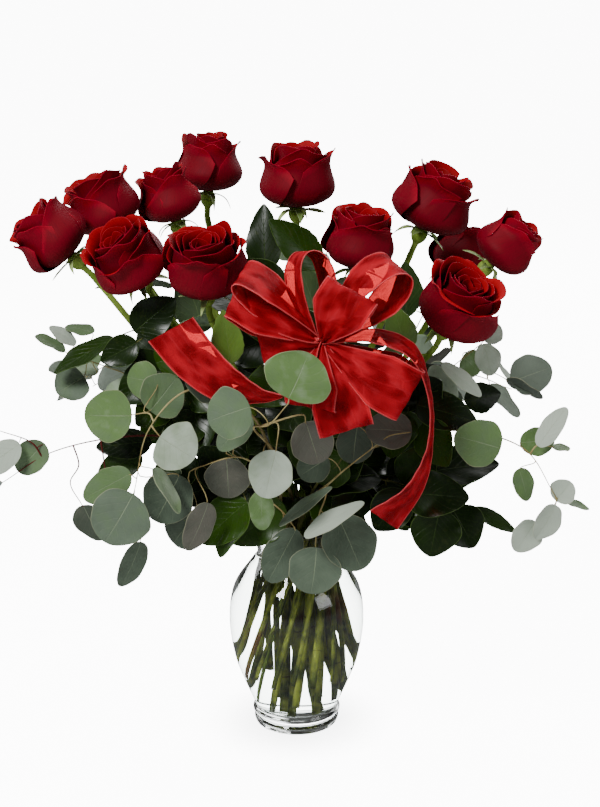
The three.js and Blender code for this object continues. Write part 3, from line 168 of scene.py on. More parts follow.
class Paint:
    """A material, or the room's light, under way. node() adds any node; the others are the few that the
    finishes share."""

    def __init__(self, name, owner=None):
        self.material = owner or bpy.data.materials.new(name)
        self.material.use_nodes = True
        self.tree = self.material.node_tree
        self.tree.nodes.clear()

    def node(self, kind, settings=None, inputs=None):
        """A node with its settings and what goes into it, as the list of what comes out."""
        made = self.tree.nodes.new(kind)
        for key, value in (settings or {}).items():
            if key == "stops":
                ramp = made.color_ramp.elements
                ramp.remove(ramp[1])
                ramp[0].position, ramp[0].color = value[0][0], (*value[0][1], 1)
                for place, colour in value[1:]:
                    ramp.new(place).color = (*colour, 1)
            else:
                setattr(made, key, value)
        for key, value in (inputs or {}).items():
            socket = made.inputs[key]
            if isinstance(value, Value):
                self.tree.links.new(value.link, socket)
            elif socket.type == "RGBA":
                socket.default_value = (*value, 1)
            else:
                socket.default_value = value
        return [Value(self, out) for out in made.outputs]

    def ramp(self, factor, *stops):
        return self.node("ShaderNodeValToRGB", {"stops": stops}, {0: factor})[0]

    def mask(self, factor, low, high):
        """0 below low, 1 above high and smooth between."""
        steps = {"interpolation_type": "SMOOTHSTEP"}
        return self.node("ShaderNodeMapRange", steps, {0: factor, 1: low, 2: high})[0]

    def mix(self, factor, a, b):
        return self.node("ShaderNodeMix", {"data_type": "RGBA"}, {0: factor, 6: a, 7: b})[2]

    def place(self):
        return self.node("ShaderNodeTexCoord")[3]

    def uv(self):
        """The piece's own UV map: the pair as a vector, then its first and second number."""
        pair = self.node("ShaderNodeTexCoord")[2]
        first, second, _ = self.node("ShaderNodeSeparateXYZ", {}, {0: pair})
        return pair, first, second

    def stretched(self, vector, scale):
        return self.node("ShaderNodeMapping", {}, {"Vector": vector, "Scale": scale})[0]

    def noise(self, vector, scale, detail):
        inputs = {"Vector": vector, "Scale": scale, "Detail": detail}
        return self.node("ShaderNodeTexNoise", {}, inputs)[0]

    def tint(self):
        return self.node("ShaderNodeAttribute", {"attribute_name": "tint"})[2]

    def bump(self, height, strength, distance):
        inputs = {"Height": height, "Strength": strength, "Distance": distance}
        return self.node("ShaderNodeBump", {}, inputs)[0]

    def surface(self, **sockets):
        named = {key.replace("_", " "): value for key, value in sockets.items()}
        return self.node("ShaderNodeBsdfPrincipled", {}, named)[0]

    def finish(self, shader):
        self.node("ShaderNodeOutputMaterial", {}, {0: shader})
        return self.material

    def finish_clear(self, shader, colour):
        """For glass and water: a ray that only asks for light goes straight on through, so the studio
        light reaches the stems inside."""
        asks = self.node("ShaderNodeLightPath")[1]
        through = self.node("ShaderNodeBsdfTransparent", {}, {0: colour})[0]
        return self.finish(self.node("ShaderNodeMixShader", {}, {0: asks, 1: shader, 2: through})[0])


paint = Paint("clear_glass")
waves = paint.noise(paint.place(), 30.0, 1.0)
glass = paint.finish_clear(
    paint.surface(
        Base_Color=(0.96, 0.985, 0.98),
        Roughness=0.01,
        IOR=1.5,
        Transmission_Weight=1.0,
        Normal=paint.bump(waves, 0.05, 0.002),
    ),
    (0.8, 0.82, 0.81),
)

VASE_OUTSIDE = [
    [33, 0], [37.6, 1.4], [39.6, 5], [40.2, 8], [38.6, 10.5], [40.6, 13], [41.5, 16], [39.6, 20],
    [41.6, 26], [50, 46], [58.5, 70], [63.5, 105], [59.5, 138], [44, 162.5], [36.8, NECK_Z], [41, 190],
    [51, RIM_Z - 0.8],
]
VASE_INSIDE = [
    [48.4, RIM_Z - 0.8], [38, 190], [33.8, NECK_Z], [41, 162.5], [56.5, 138], [60.5, 105], [55.5, 70],
    [47, 46], [37.5, 26], [31, FLOOR_Z + 4.5], [25, FLOOR_Z + 0.8], [12, FLOOR_Z], [0, FLOOR_Z],
]
outside = smooth_profile(VASE_OUTSIDE, 6)
inside = smooth_profile(VASE_INSIDE, 6)
rim = np.array([[50.5, RIM_Z - 0.2], [49.7, RIM_Z], [48.9, RIM_Z - 0.2]])
underside = np.array([[0, 1.2], [22, 1.2], [27, 0.8], [30, 0.0]])
profile = np.vstack([underside, outside, rim, inside])
vase = new_piece("glass_vase", [part(turned(profile, SIDES), closed=True)], [glass], solid=True)
settle(vase, "vase_glass", "vase")


# ---- The water: it fills the vase to the neck, and its surface creeps up a little at the glass.
# Its outside lies a hair inside the glass wall, so that light passes from one straight into the other.

WATER_Z = 171.0
OVERLAP = 0.3  # how far the water's outside lies inside the glass

paint = Paint("still_water")
water_finish = paint.finish_clear(
    paint.surface(Base_Color=(0.97, 0.99, 0.97), Roughness=0.0, IOR=1.33, Transmission_Weight=1.0),
    (0.9, 0.92, 0.91),
)

wall = inside[(inside[:, 1] < WATER_Z) & (inside[:, 1] > FLOOR_Z + 1.5)][::-1] + [OVERLAP, 0]
edge = wall[-1, 0]
bottom = np.array([[0, FLOOR_Z - OVERLAP], [12, FLOOR_Z - OVERLAP], [25, FLOOR_Z + 0.5]])
surface = np.array(
    [
        [edge - 1.5, WATER_Z + 0.6], [edge - 4, WATER_Z - 0.2], [edge - 9, WATER_Z - 0.5],
        [0, WATER_Z - 0.5],
    ]
)
profile = np.vstack([bottom, wall, surface])
filling = part(turned(profile, SIDES), closed=True)
water = new_piece("vase_water_clear", [filling], [water_finish], solid=True)
settle(water, "water", "vase_water")


# ---- The rose stems: twelve straight green stems a pencil thick. They pass the neck in a twist, spread
# to the vase's floor below and to their blooms above, and end in the round hip that carries the bloom.

TWIST = 0.012  # how far a stem leans round the axis, per millimetre of its distance from it
JOIN_Z = 225.0  # above this each stem bends out to its own place
ROSE_THICK = 3.3  # half a rose stem's thickness
# The rings of stems at the neck: how far out, the first one's turn, and their names in order.
RINGS = [
    (8.0, -10, "rose_11 rose_08 rose_05 rose_06 salal_03"),
    (
        17.5,
        0,
        "rose_10 rose_09 rose_07 rose_03 rose_02 eucalyptus_04 salal_01 eucalyptus_01 eucalyptus_03 "
        "bow_stake salal_05",
    ),
    (
        27.0,
        37,
        "eucalyptus_09 salal_07 salal_08 rose_04 salal_09 eucalyptus_10 rose_01 eucalyptus_02 salal_02 "
        "eucalyptus_08 eucalyptus_07 salal_06 eucalyptus_05 salal_04 eucalyptus_06 rose_12",
    ),
]
at_neck = {}
for radius, first, names in RINGS:
    names = names.split()
    for i, name in enumerate(names):
        turn = math.radians(first + 360 * i / len(names)) - math.atan(TWIST * (JOIN_Z - NECK_Z))
        out = radius - (2 if radius > 20 and i % 2 else 0)
        at_neck[name] = (out * math.cos(turn), out * math.sin(turn))


def in_neck(name, z):
    """A stem's place at a height, from its place (x, y) at the neck: (x - y t, y + x t, z) with t the
    twist times the height above the neck."""
    x, y = at_neck[name]
    t = TWIST * (z - NECK_Z)
    return np.array([x - y * t, y + x * t, z])


def cut_height(name, radius):
    """The height at which a stem is cut: just above the floor, or where it would meet the wall."""
    z = FLOOR_Z + 1.2
    while True:
        out = math.hypot(*in_neck(name, z)[:2])
        room = np.interp(z, [p[1] for p in VASE_OUTSIDE], [p[0] for p in VASE_OUTSIDE]) - WALL - 0.4
        if out + radius + 2.2 <= room and (z >= FLOOR_Z + 5 or out + radius <= 24):
            return z
        z += 1


def unit(v):
    return v / np.maximum(np.linalg.norm(v, axis=-1, keepdims=True), 1e-9)


def curve_through(places):
    """A smooth curve through places for t from 0 to 1, with an equal share of t for each stretch. The
    directions at the places weigh their neighbours by the square roots of the distances to them; a
    distance of nothing, where a place is given twice, takes the next one's weight."""
    p = np.asarray(places, float)
    p = np.vstack([2 * p[0] - p[1], p, 2 * p[-1] - p[-2]])
    gap = np.sqrt(np.linalg.norm(np.diff(p, axis=0), axis=1))[:, None]

    def at(t):
        t = np.atleast_1d(np.asarray(t, float)) * (len(p) - 3)
        k = np.clip(np.floor(t).astype(int), 0, len(p) - 4)
        w = (t - k)[:, None]
        x0, x1, x2, x3 = (p[k + i] for i in range(4))
        d1 = np.where(gap[k + 1] < 1e-4, 1, gap[k + 1])
        d0, d2 = (np.where(gap[k + i] < 1e-4, d1, gap[k + i]) for i in (0, 2))
        leave = ((x1 - x0) / d0 - (x2 - x0) / (d0 + d1) + (x2 - x1) / d1) * d1
        arrive = ((x2 - x1) / d1 - (x3 - x1) / (d1 + d2) + (x3 - x2) / d2) * d1
        a = 2 * x1 - 2 * x2 + leave + arrive
        b = 3 * x2 - 3 * x1 - 2 * leave - arrive
        return x1 + leave * w + b * w**2 + a * w**3

    return at


def lengths(line):
    """The distance along a line of points up to each of them."""
    return np.concatenate([[0], np.cumsum(np.linalg.norm(np.diff(line, axis=0), axis=1))])


def tube(line, radii, sides, tint=0.5):
    """A round section of the given radii carried along a line of points, closed at both ends. Its
    first direction across is the axis of space that the line follows least, laid square to the line.
    The UV pair is the length along in centimetres and the share of a turn."""
    line = np.asarray(line, float)
    way = unit(np.gradient(line, axis=0))
    axis = np.eye(3)[np.argmin(np.abs(way).max(0))]
    across = unit(axis - way * (way @ axis)[:, None])
    other = np.cross(way, across)
    radii = np.broadcast_to(radii, len(line)).copy()
    rows = np.r_[0, np.arange(len(line)), len(line) - 1]
    radii = radii[rows]
    radii[[0, -1]] = POINT
    angle = np.linspace(0, 2 * np.pi, sides, endpoint=False)[None, :, None]
    ring = across[rows, None] * np.cos(angle) + other[rows, None] * np.sin(angle)
    grid = line[rows, None] + ring * radii[:, None, None]
    far = lengths(line)[rows, None] / 10 + 0 * angle[..., 0]
    turn = np.abs(angle[..., 0] / np.pi - 1) + 0 * far
    return part(grid, 0, np.stack([far, turn], -1), tint, closed=True)


def stem_lines(name, radius, places, end_way=None):
    """A stem from its cut end, straight to the join and then curving through its places: the whole
    fine line, the fine line above the join, and the few points above the join that leaves go by."""
    low, join = in_neck(name, cut_height(name, radius)), in_neck(name, JOIN_Z)
    way = unit(join - low)
    knots = [join - 6 * way, join, *[np.array(p, float) for p in places]]
    if end_way is not None:
        knots.append(knots[-1] + 8 * end_way)
    first = 1 / (len(knots) - 1)
    last = 1 if end_way is None else 1 - first
    curve = curve_through(knots)
    fine = curve(np.linspace(first, last, 14 * len(places)))
    coarse = curve(np.linspace(first, last, len(places) + 3))
    straight = low + (join - low) * np.linspace(0, 1, 24, endpoint=False)[:, None]
    return {"whole": np.vstack([straight, fine]), "fine": fine, "coarse": coarse}


def vary(n):
    """A fixed number from 0 to 1 for each n, so that every run makes the same draw."""
    s = math.sin(n * 12.9898 + 4.1) * 43758.5453
    return s - math.floor(s)


def wet_and_shaded_below(paint, place, above):
    """A stem's colour: olive, bruised and darker where it stands in the water, partly its own wet colour
    and partly painted shade for the dim inside of the vase, and as given above it.
    """
    patches = paint.noise(place, 38.0, 3.0)
    height = paint.node("ShaderNodeSeparateXYZ", {}, {0: place})[2]
    # The olive below the water is darker than the stem above: partly its own wet colour, partly painted
    # shade for the dim inside of the vase.
    olive = paint.mix(paint.mask(patches, 0.38, 0.62), (0.026, 0.036, 0.005), (0.18, 0.2, 0.026))
    bruised = paint.mask(paint.noise(place, 21.0, 1.0), 0.58, 0.68)
    olive = paint.mix(bruised * 0.85, olive, (0.07, 0.014, 0.006))
    return paint.mix(paint.mask(height, 0.15, 0.24), olive, above)


paint = Paint("rose_stem_green")
place = paint.place()
pair, far, _ = paint.uv()
patches = paint.noise(place, 38.0, 3.0)
streaks = paint.noise(paint.stretched(pair, (0.35, 9.0, 1.0)), 3.0, 2.0)
dry_green = paint.mix(paint.mask(patches, 0.35, 0.68), (0.09, 0.15, 0.018), (0.2, 0.29, 0.05))
# In the water the stem turns olive and darker, the darkness partly painted shade.
green = wet_and_shaded_below(paint, place, dry_green)
green = paint.mix(paint.mask(streaks, 0.5, 0.75) * 0.4, green, (0.24, 0.28, 0.07))
scars = paint.mask(abs((far * 0.21 + patches * 0.35).turns() - 0.5), 0.482, 0.494)
green = paint.mix(scars * 0.5, green, (0.02, 0.01, 0.004))
stem_green = paint.finish(
    paint.surface(
        Base_Color=green,
        Roughness=0.42 + 0.2 * patches,
        Specular_IOR_Level=0.04,
        Normal=paint.bump(streaks * 0.4 - scars, 0.5, 0.0006),
    )
)

# Each rose: its bloom's middle, the way it opens, its size, how far it is open and its petals' turn.
ROSES = {
    "rose_01": ([-222, -22, 483], [-0.7, -0.05, 0.7], 0.98, 0.5, 20),
    "rose_02": ([-177, 27, 504], [-0.4, 0, 0.92], 0.98, 0.7, 75),
    "rose_03": ([-119, 60, 505], [-0.26, 0, 0.96], 0.92, 0.1, 130),
    "rose_04": ([-83, 128, 524], [0.05, 0.05, 1], 1.0, 0.25, 200),
    "rose_05": ([-150, -66, 474], [-0.45, -0.34, 0.82], 0.98, 0.8, 250),
    "rose_06": ([-79, -90, 474], [-0.06, -0.34, 0.94], 1.02, 0.8, 310),
    "rose_07": ([1, 40, 527], [0.02, 0, 1], 1.05, 0.6, 45),
    "rose_08": ([59, 0, 477], [0.1, -0.06, 1], 1.0, 0.45, 100),
    "rose_09": ([129, 50, 503], [0.38, -0.05, 0.92], 1.08, 0.6, 160),
    "rose_10": ([196, 20, 467], [0.66, -0.05, 0.75], 0.92, 0.15, 220),
    "rose_11": ([143, -80, 437], [0.35, -0.38, 0.86], 1.04, 0.85, 280),
    "rose_12": ([160, 112, 440], [0.4, 0.35, 0.85], 0.92, 0.4, 340),
}


HALF_BLOOM = 32  # from a bloom's foot to its middle, for a rose of size 1
HIP_LENGTH = 24  # from a bloom's foot down to where its stem begins to swell


class Rose:
    """A rose's place and axes, made from its row of ROSES. Its foot is the top of the hip."""

    def __init__(self, name, centre, way, size, open_, spin):
        self.name, self.size, self.open, self.spin = name, size, open_, spin
        self.way = unit(np.array(way, float))
        self.foot = np.array(centre, float) - HALF_BLOOM * size * self.way
        out = np.array([math.cos(math.radians(spin)), math.sin(math.radians(spin)), 0])
        self.out = unit(out - self.way * (out @ self.way))
        self.other = np.cross(self.way, self.out)
        under = self.foot - HIP_LENGTH * self.way
        join = in_neck(name, JOIN_Z)
        middle = (join + under) / 2 + [0, 0, 6]
        self.stem = stem_lines(name, ROSE_THICK, [middle, under], self.way)

    def at(self, x, y, z):
        """Places in the bloom's own axes, whose z is the way it opens, as places in the bouquet."""
        x, y, z = (np.asarray(a, float)[..., None] for a in (x, y, z))
        return self.foot + self.out * x + self.other * y + self.way * z


# The hip's height under the bloom and its radius there, and a thorn's share of length and radius.
HIP = np.array(
    [
        [-HIP_LENGTH, 2.8], [-19, 2.8], [-15, 3.2], [-12.5, 5.2], [-9.5, 6.9], [-6.5, 7.5], [-3.5, 7.2],
        [-1, 5.9], [0.4, 5.0],
    ]
)
THORN = np.array([[0, 1.5], [0.25, 1.15], [0.6, 0.6], [1, 0.05]])


def thorn(foot, out, way, length):
    """A round thorn: radii that shrink along a line which bends down as the square of its length."""
    s = THORN[:, :1]
    return tube(foot + out * length * s - way * 0.45 * length * s**2, THORN[:, 1], 6, tint=0.8)


roses = []
for name, (centre, way, size, open_, spin) in ROSES.items():
    rose = Rose(name, centre, way, size, open_, spin)
    roses.append(rose)
    line = rose.stem["whole"]
    share = np.linspace(0, 1, len(line))
    radii = ROSE_THICK - 0.5 * share + 0.22 * np.sin(lengths(line) / 9 + spin) ** 8
    hip = smooth_profile(HIP, 4)
    line = np.vstack([line[:-1], rose.foot + rose.way * hip[:, :1]])
    parts = [tube(line, np.concatenate([radii[:-1], hip[:, 1]]), 12)]
    fine = rose.stem["fine"]
    for k in range(4):
        at = int((0.12 + 0.22 * k + 0.08 * vary(spin + k)) * len(fine))
        way = unit(fine[at + 1] - fine[at])
        turn = 2 * math.pi * vary(3 * spin + k)
        out = unit(np.cross(way, [math.cos(turn), math.sin(turn), 0.3]))
        parts.append(thorn(fine[at] + out * 2.4, out, way, 4.5 + 2 * vary(k + spin)))
    settle(new_piece(f"{name}_stalk", parts, [stem_green], solid=True), "rose_stem", f"{name}_stem")


# ---- The blooms: twenty-one velvety petals each, all grown from the hip. The outer ones stand in a deep
# cup with their rims rolled back, and the inner ones wind ever closer round the heart.

PETAL_UP = np.concatenate([np.linspace(0, 0.72, 11), np.linspace(0.76, 0.985, 12), [1.0]])[:, None]
PETAL_OVER = np.concatenate([[-1, -0.985], np.linspace(-0.93, 0.93, 19), [0.985, 1]])[None, :]
ROLL_FROM = 0.78  # the share of a petal's height at which its rim begins to roll
WIND = math.radians(32)  # how far a cup turns from its foot to its rim
BOWL = 0.42  # the share of a petal's height that the bowl takes
GOLDEN_ANGLE = 137.5  # degrees from a petal or a leaf to the next
PETAL_THICKNESS = 0.5


def petal_grid(rose, petal):
    """A petal for u across (-1 to 1) and v up (0 to 1). A quarter circle makes the bowl up to BOWL,
    then a wall leans in; above ROLL_FROM the rim bends out on an arc, least at its middle, which leaves
    a point. Both sides fall short, one more than the other, and slow waves soften the rim."""
    u, v = PETAL_OVER, PETAL_UP
    wave = [vary(petal["seed"] + 0.37 * k) for k in range(8)]
    point = 1 if petal["row"] < 2 else 0.3
    middle = point * np.exp(-(((u - 0.3 * (wave[6] - 0.5)) / 0.22) ** 2))
    short = petal["side"] * np.abs(u) ** 2 + petal["slant"] * u + 0.012 * np.sin(6 * u + 6 * wave[0])
    risen = v * (1 - short - petal["side"] * 0.12 + 0.05 * middle)
    t = np.minimum(1, risen / BOWL) * np.pi / 2
    s = np.maximum(0, (np.minimum(risen, ROLL_FROM) - BOWL) / (1 - BOWL))
    ease = np.clip(s * 1.5, 0, 1)
    radius, height = petal["radius"], petal["height"]
    r = 4 + (radius - 4) * np.sin(t) * (1 - petal["lean"] * ease**2 * (3 - 2 * ease))
    z = height * (0.36 * (1 - np.cos(t)) + 0.64 * s)
    bend = 1 - 0.5 * middle + 0.35 * np.abs(u) + 0.5 * (wave[2] - 0.5) * np.sin(2 * u + 6 * wave[1])
    reach = (1 - ROLL_FROM) * 1.1 * height
    far = np.maximum(0, risen - ROLL_FROM) / (1 - ROLL_FROM) * reach
    curve = (np.radians(petal["roll"]) * bend + 0.02) / reach
    r = r * (1 + 0.06 * u) + (1 - np.cos(curve * far)) / curve
    z = z + np.sin(curve * far) / curve + 1.2
    rise = np.clip((risen - 0.35) / 0.65, 0, 1)
    r = r + rise**2 * rose.size * 1.1 * np.sin(2.7 * u + 6 * wave[3])
    r = r + rise**3 * rose.size * 0.35 * np.sin(9 * u + 6 * wave[7])
    z = z + rise**3 * rose.size * 1.2 * np.sin(3.1 * u + 6 * wave[4])
    r = r + rise * np.abs(u) ** 6 * rose.size * petal["peel"] * (0.4 + wave[5])
    across = math.radians(petal["spread"]) * (0.42 + 0.58 * np.sin(t))
    angle = math.radians(petal["turn"]) + u * across + WIND * z / height
    aside = petal["aside"] * rise
    x = r * np.cos(angle) + aside * math.cos(6 * wave[6])
    y = r * np.sin(angle) + aside * math.sin(6 * wave[6])
    return rose.at(x, y, z)


def petals(rose):
    """The petals of a bloom from the outside in, each at the golden angle from the one before. The
    outermost stop short of the cup inside them, and one of them stands as tall as it."""
    o, size = rose.open, rose.size
    # number, radius and step, height and drop, lean, roll, spread, side, first turn
    layers = [
        (5, 32.5 + 4 * o, 1.5, 50.5, 3 + 9 * o, 0.3 - 0.24 * o, 38 + 62 * o, 62, 0.3, 0),
        (3, 27.5 + 3 * o, 1.2, 54, 2, 0.36 - 0.2 * o, 26 + 30 * o, 80, 0.24, 70),
        (3, 23 + 2 * o, 1.3, 56, 3, 0.42 - 0.2 * o, 14 + 20 * o, 86, 0.2, 30),
        (3, 17.5 + 2 * o, 1.4, 55.5 - 3 * o, 3, 0.46 - 0.2 * o, 8 + 12 * o, 92, 0.2, 160),
        (4, 12 + 2.5 * o, 1.3, 54.5 - 5 * o, 3, 0.5 - 0.2 * o, 4 + 8 * o, 104, 0.2, 110),
        (3, 6.8 + 1.2 * o, 1.2, 52.5 - 7 * o, 3, 0.5 - 0.2 * o, 3, 120, 0.16, 10),
    ]
    for row, (count, radius, step, height, drop, lean, roll, spread, side, first) in enumerate(layers):
        for i in range(count):
            seed = i + 7 * first + rose.spin
            low = 0 if row == 0 and i == 2 else drop * vary(seed + 0.21)
            yield {
                "radius": size * (radius - step * i),
                "height": size * (height - low),
                "lean": lean,
                "roll": roll * (0.6 + 0.8 * vary(seed)),
                "spread": spread,
                "side": side * (0.7 + 0.6 * vary(seed + 0.63)),
                "slant": 0.26 * (vary(seed + 0.47) - 0.5),
                "peel": 2.6 if row == 0 else 1.2,
                "aside": size * (0.4 if row == 0 else 1.5) * (1 - 0.1 * row),
                "turn": first + GOLDEN_ANGLE * i,
                "seed": seed,
                "row": row,
            }


def petal_finish(name, low, middle, rim, lip_highlight, sheen, tint):
    """Velvet: dark at the foot, as painted shade down in the cup, and brighter to the rim, as painted
    light where the thin rim lets light through, with a painted highlight along the very edge, faint
    veins that fan out up the petal and a soft sheen. A petal's UV pair is its height and its place
    across; its tint darkens it, as painted shade on the inner rows and as random tone."""
    paint = Paint(name)
    pair, up, _ = paint.uv()
    mottle = paint.noise(paint.place(), 45.0, 3.0)
    veins = paint.noise(paint.stretched(pair, (1.0, 13.0, 1.0)), 4.0, 3.0)
    # The ramp up the petal: painted shade at the foot, painted light towards the thin rim and a painted
    # highlight on its very edge.
    stops = (0.0, low), (0.42, middle), (0.8, middle), (0.95, rim), (0.98, rim), (0.998, lip_highlight)
    red = paint.ramp(up + 0.1 * (mottle - 0.5) * (1 - up), *stops)
    red = paint.mix(paint.mask(veins, 0.45, 0.75) * 0.25, red, low)
    # Darker where the tint is high: painted shade for the inner rows, deep in the bloom, and random
    # tone.
    red = paint.mix(paint.mask(paint.tint(), 0.0, 1.0) * 0.6, red, low)
    return paint.finish(
        paint.surface(
            Base_Color=red,
            Roughness=0.5 + 0.2 * mottle,
            Specular_IOR_Level=0.07,
            Sheen_Weight=sheen,
            Sheen_Roughness=0.35,
            Sheen_Tint=tint,
            Normal=paint.bump(veins * 0.5 + mottle, 0.22, 0.0008),
        )
    )


# For each side: low is the painted shade at the foot, rim the painted light at the rim, and the last
# stop a painted highlight on the edge.
petal_back = petal_finish(
    "petal_back",
    low=(0.024, 0.0001, 0.0024),
    middle=(0.125, 0.0003, 0.0058),
    rim=(0.21, 0.0006, 0.0095),
    lip_highlight=(0.25, 0.0015, 0.013),
    sheen=0.05,
    tint=(1.0, 0.05, 0.2),
)
petal_face = petal_finish(
    "petal_face",
    low=(0.014, 0.0, 0.0006),
    middle=(0.19, 0.0004, 0.0022),
    rim=(0.3, 0.001, 0.0045),
    lip_highlight=(0.3, 0.0025, 0.009),
    sheen=0.03,
    tint=(1.0, 0.05, 0.1),
)


def thicken(piece, thickness, side, finish=1):
    """Gives a sheet its thickness. Its second face takes the next material."""
    wall = piece.modifiers.new("thickness", "SOLIDIFY")
    wall.thickness = thickness / 1000
    wall.offset = side
    wall.material_offset = finish
    return piece


for rose in roses:
    up = PETAL_UP + 0 * PETAL_OVER
    over = (PETAL_OVER + 1) / 2 + 0 * PETAL_UP
    parts = []
    for petal in petals(rose):
        # The tint rises with the row, as painted shade for the inner petals, and at random, as tone.
        inner_shade_and_tone = 0.1 * petal["row"] + 0.3 * vary(petal["seed"] + 0.5)
        parts.append(part(petal_grid(rose, petal), 0, np.stack([up, over], -1), inner_shade_and_tone))
    bloom = new_piece(f"{rose.name}_petals", parts, [petal_back, petal_face], solid=False)
    settle(thicken(bloom, PETAL_THICKNESS, -1), "rose_petal", f"{rose.name}_bloom")


# ---- Sepals and rose leaves: five thin pointed sepals curl away under each bloom, and a toothed leaf
# or two stand on each stem. They are pale beneath, and all of them grow from the stem.


def leaf_finish(name, tones, vein, ribs, gloss, edge, spots=None, shine=0.5, ribbing=0.25):
    """A leaf's face: its ground runs through `tones` from leaf to leaf and in soft patches, with a pale
    midrib, side ribs that run forward from it and a thin edge. Its UV pair is the share along and the
    place across, and its tint is the leaf's own tone."""
    paint = Paint(name)
    _, along, across = paint.uv()
    side = abs(across - 0.5) * 2
    mottle = paint.noise(paint.place(), 70.0, 3.0)
    fine = paint.noise(paint.place(), 420.0, 2.0)
    tone = paint.tint() + 0.2 * (mottle - 0.5)
    last = len(tones) - 1
    green = paint.ramp(tone, *[(0.1 + 0.8 * k / last, colour) for k, colour in enumerate(tones)])
    wobble = along * ribs - side * ribs * 0.42 + mottle * 0.25
    rib = paint.mask(abs(wobble.turns() - 0.5), 0.44, 0.5) * (1 - paint.mask(side, 0.75, 1.0))
    middle = 1 - paint.mask(side, 0.006, 0.026)
    green = paint.mix(rib * ribbing, green, vein)
    green = paint.mix(middle * (0.6 - 0.4 * along), green, vein)
    if spots:
        speckle = paint.mask(paint.noise(paint.place(), 160.0, 2.0), 0.6, 0.68)
        green = paint.mix(speckle * 0.5, green, spots)
    green = paint.mix(paint.mask(side, 0.962, 0.99) * 0.45, green, edge)
    relief = fine * 0.15 + mottle * 0.5 - rib * 0.5 - middle
    return paint.finish(
        paint.surface(
            Base_Color=green,
            Roughness=gloss + 0.18 * mottle,
            Specular_IOR_Level=shine,
            Normal=paint.bump(relief, 0.45, 0.0008),
        )
    )


rose_leaf = leaf_finish(
    "rose_leaf",
    tones=[(0.09, 0.17, 0.02), (0.035, 0.085, 0.01), (0.014, 0.04, 0.006)],
    vein=(0.16, 0.26, 0.07),
    ribs=9,
    gloss=0.32,
    edge=(0.13, 0.2, 0.05),
)
rose_leaf_under = leaf_finish(
    "rose_leaf_under",
    tones=[(0.34, 0.44, 0.32), (0.22, 0.31, 0.19)],
    vein=(0.42, 0.5, 0.36),
    ribs=9,
    gloss=0.5,
    edge=(0.3, 0.36, 0.2),
)
sepal_green = leaf_finish(
    "sepal_green",
    tones=[(0.3, 0.4, 0.13), (0.12, 0.2, 0.04)],
    vein=(0.3, 0.38, 0.16),
    ribs=3,
    gloss=0.45,
    edge=(0.4, 0.45, 0.25),
)

SEPAL_ALONG = np.linspace(0, 1, 13)[:, None]
SEPAL_ACROSS = np.array([1, 0.94, 0.5, 0, -0.5, -0.94, -1])[None, :]


def sepal_grid(rose, k):
    """A sepal for s along and w across: it leaves the hip outwards, falls as the square of s, narrows
    to a thread and turns on itself towards its tip."""
    s, w = SEPAL_ALONG, SEPAL_ACROSS
    turn = math.radians(k * 72 + 20)
    fall = 0.2 + 1.2 * vary(k + 11 * rose.spin)
    reach = rose.size * (21 + 8 * vary(k + 3 * rose.spin))
    out = 4.5 + reach * s * (1 - 0.3 * fall * s)
    z = -2.4 + 2.2 * s - fall * reach * 0.55 * s * s
    half = 3.4 * (1 - s**1.6) * (0.8 + 0.6 * s) + 0.02
    curl = (vary(k + 5 * rose.spin) - 0.5) * 3 * s**1.5
    x = w * half * np.cos(curl)
    z = z + w * half * np.sin(curl) + 0.25 * half * np.abs(w) ** 1.5
    bow = reach * 0.12 * np.sin(3 * s) * (vary(k + 8 * rose.spin) - 0.5)
    c, d = math.cos(turn), math.sin(turn)
    return rose.at(out * c - (x + bow) * d, out * d + (x + bow) * c, z)


LEAF_ROWS = np.concatenate([[0, 0.012], np.linspace(0.05, 0.94, 19), [0.975, 0.992, 1]])[:, None]
LEAF_COLUMNS = np.array([1, 0.965, 0.8, 0.6, 0.4, 0.2, 0, -0.2, -0.4, -0.6, -0.8, -0.965, -1])[None, :]
LEAF_UV = np.stack([LEAF_ROWS + 0 * LEAF_COLUMNS, (LEAF_COLUMNS + 1) / 2 + 0 * LEAF_ROWS], -1)
LEAF_THICKNESS = 0.5
# Half a leaf's width along it is half its width times sin(pi s^lead)^full.
OUTLINES = {"round": (0.9, 0.5), "salal": (0.76, 0.66), "rose": (0.8, 0.72)}
FRONT = [0, -1, 0.25]
LEVEL = [0, -0.25, 1]


def L(base, tip, width, face=FRONT, kind=None, bend=0.1):
    """A leaf at its own place: where its blade begins and ends, its width, the way it faces, its
    kind, which is its branch's where none is given, and how far it bends."""
    return {"base": base, "tip": tip, "width": width, "face": face, "kind": kind, "bend": bend}


def turned_about(v, axis, degrees):
    """A vector turned about an axis: v cos a + (axis x v) sin a + axis (axis . v)(1 - cos a)."""
    a, axis = math.radians(degrees), unit(np.asarray(axis, float))
    return v * math.cos(a) + np.cross(axis, v) * math.sin(a) + axis * (axis @ v) * (1 - math.cos(a))


def leaf_axes(leaf):
    """Where a leaf begins, its length, and the ways ahead, to its side and out of its upper face."""
    base, tip = np.array(leaf["base"], float), np.array(leaf["tip"], float)
    ahead = unit(tip - base)
    side = unit(np.cross(leaf["face"], ahead))
    return base, np.linalg.norm(tip - base), ahead, side, np.cross(ahead, side)


# A leaf that would touch another piece is turned about its base by one of these steps, in degrees:
# round the upright, then up or down. The solid in the frame says which one it took, if it has room.
TURNS = [
    (0, 0), (0, 12), (0, -12), (12, 0), (-12, 0), (10, 14), (-10, -14), (0, 26), (0, -26),
    (24, 0), (-24, 0), (20, 24), (-20, -24), (20, -24), (-20, 24), (0, 42), (0, -42), (38, 0), (-38, 0),
]


SAME_TIP = 1.2  # a leaf's tip and a corner of its solid that are nearer than this are the same


def node_points(node):
    """The corners of a solid of the frame, in millimetres."""
    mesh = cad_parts[node].data
    points = np.empty(len(mesh.vertices) * 3)
    mesh.vertices.foreach_get("co", points)
    return points.reshape(-1, 3) * 1000


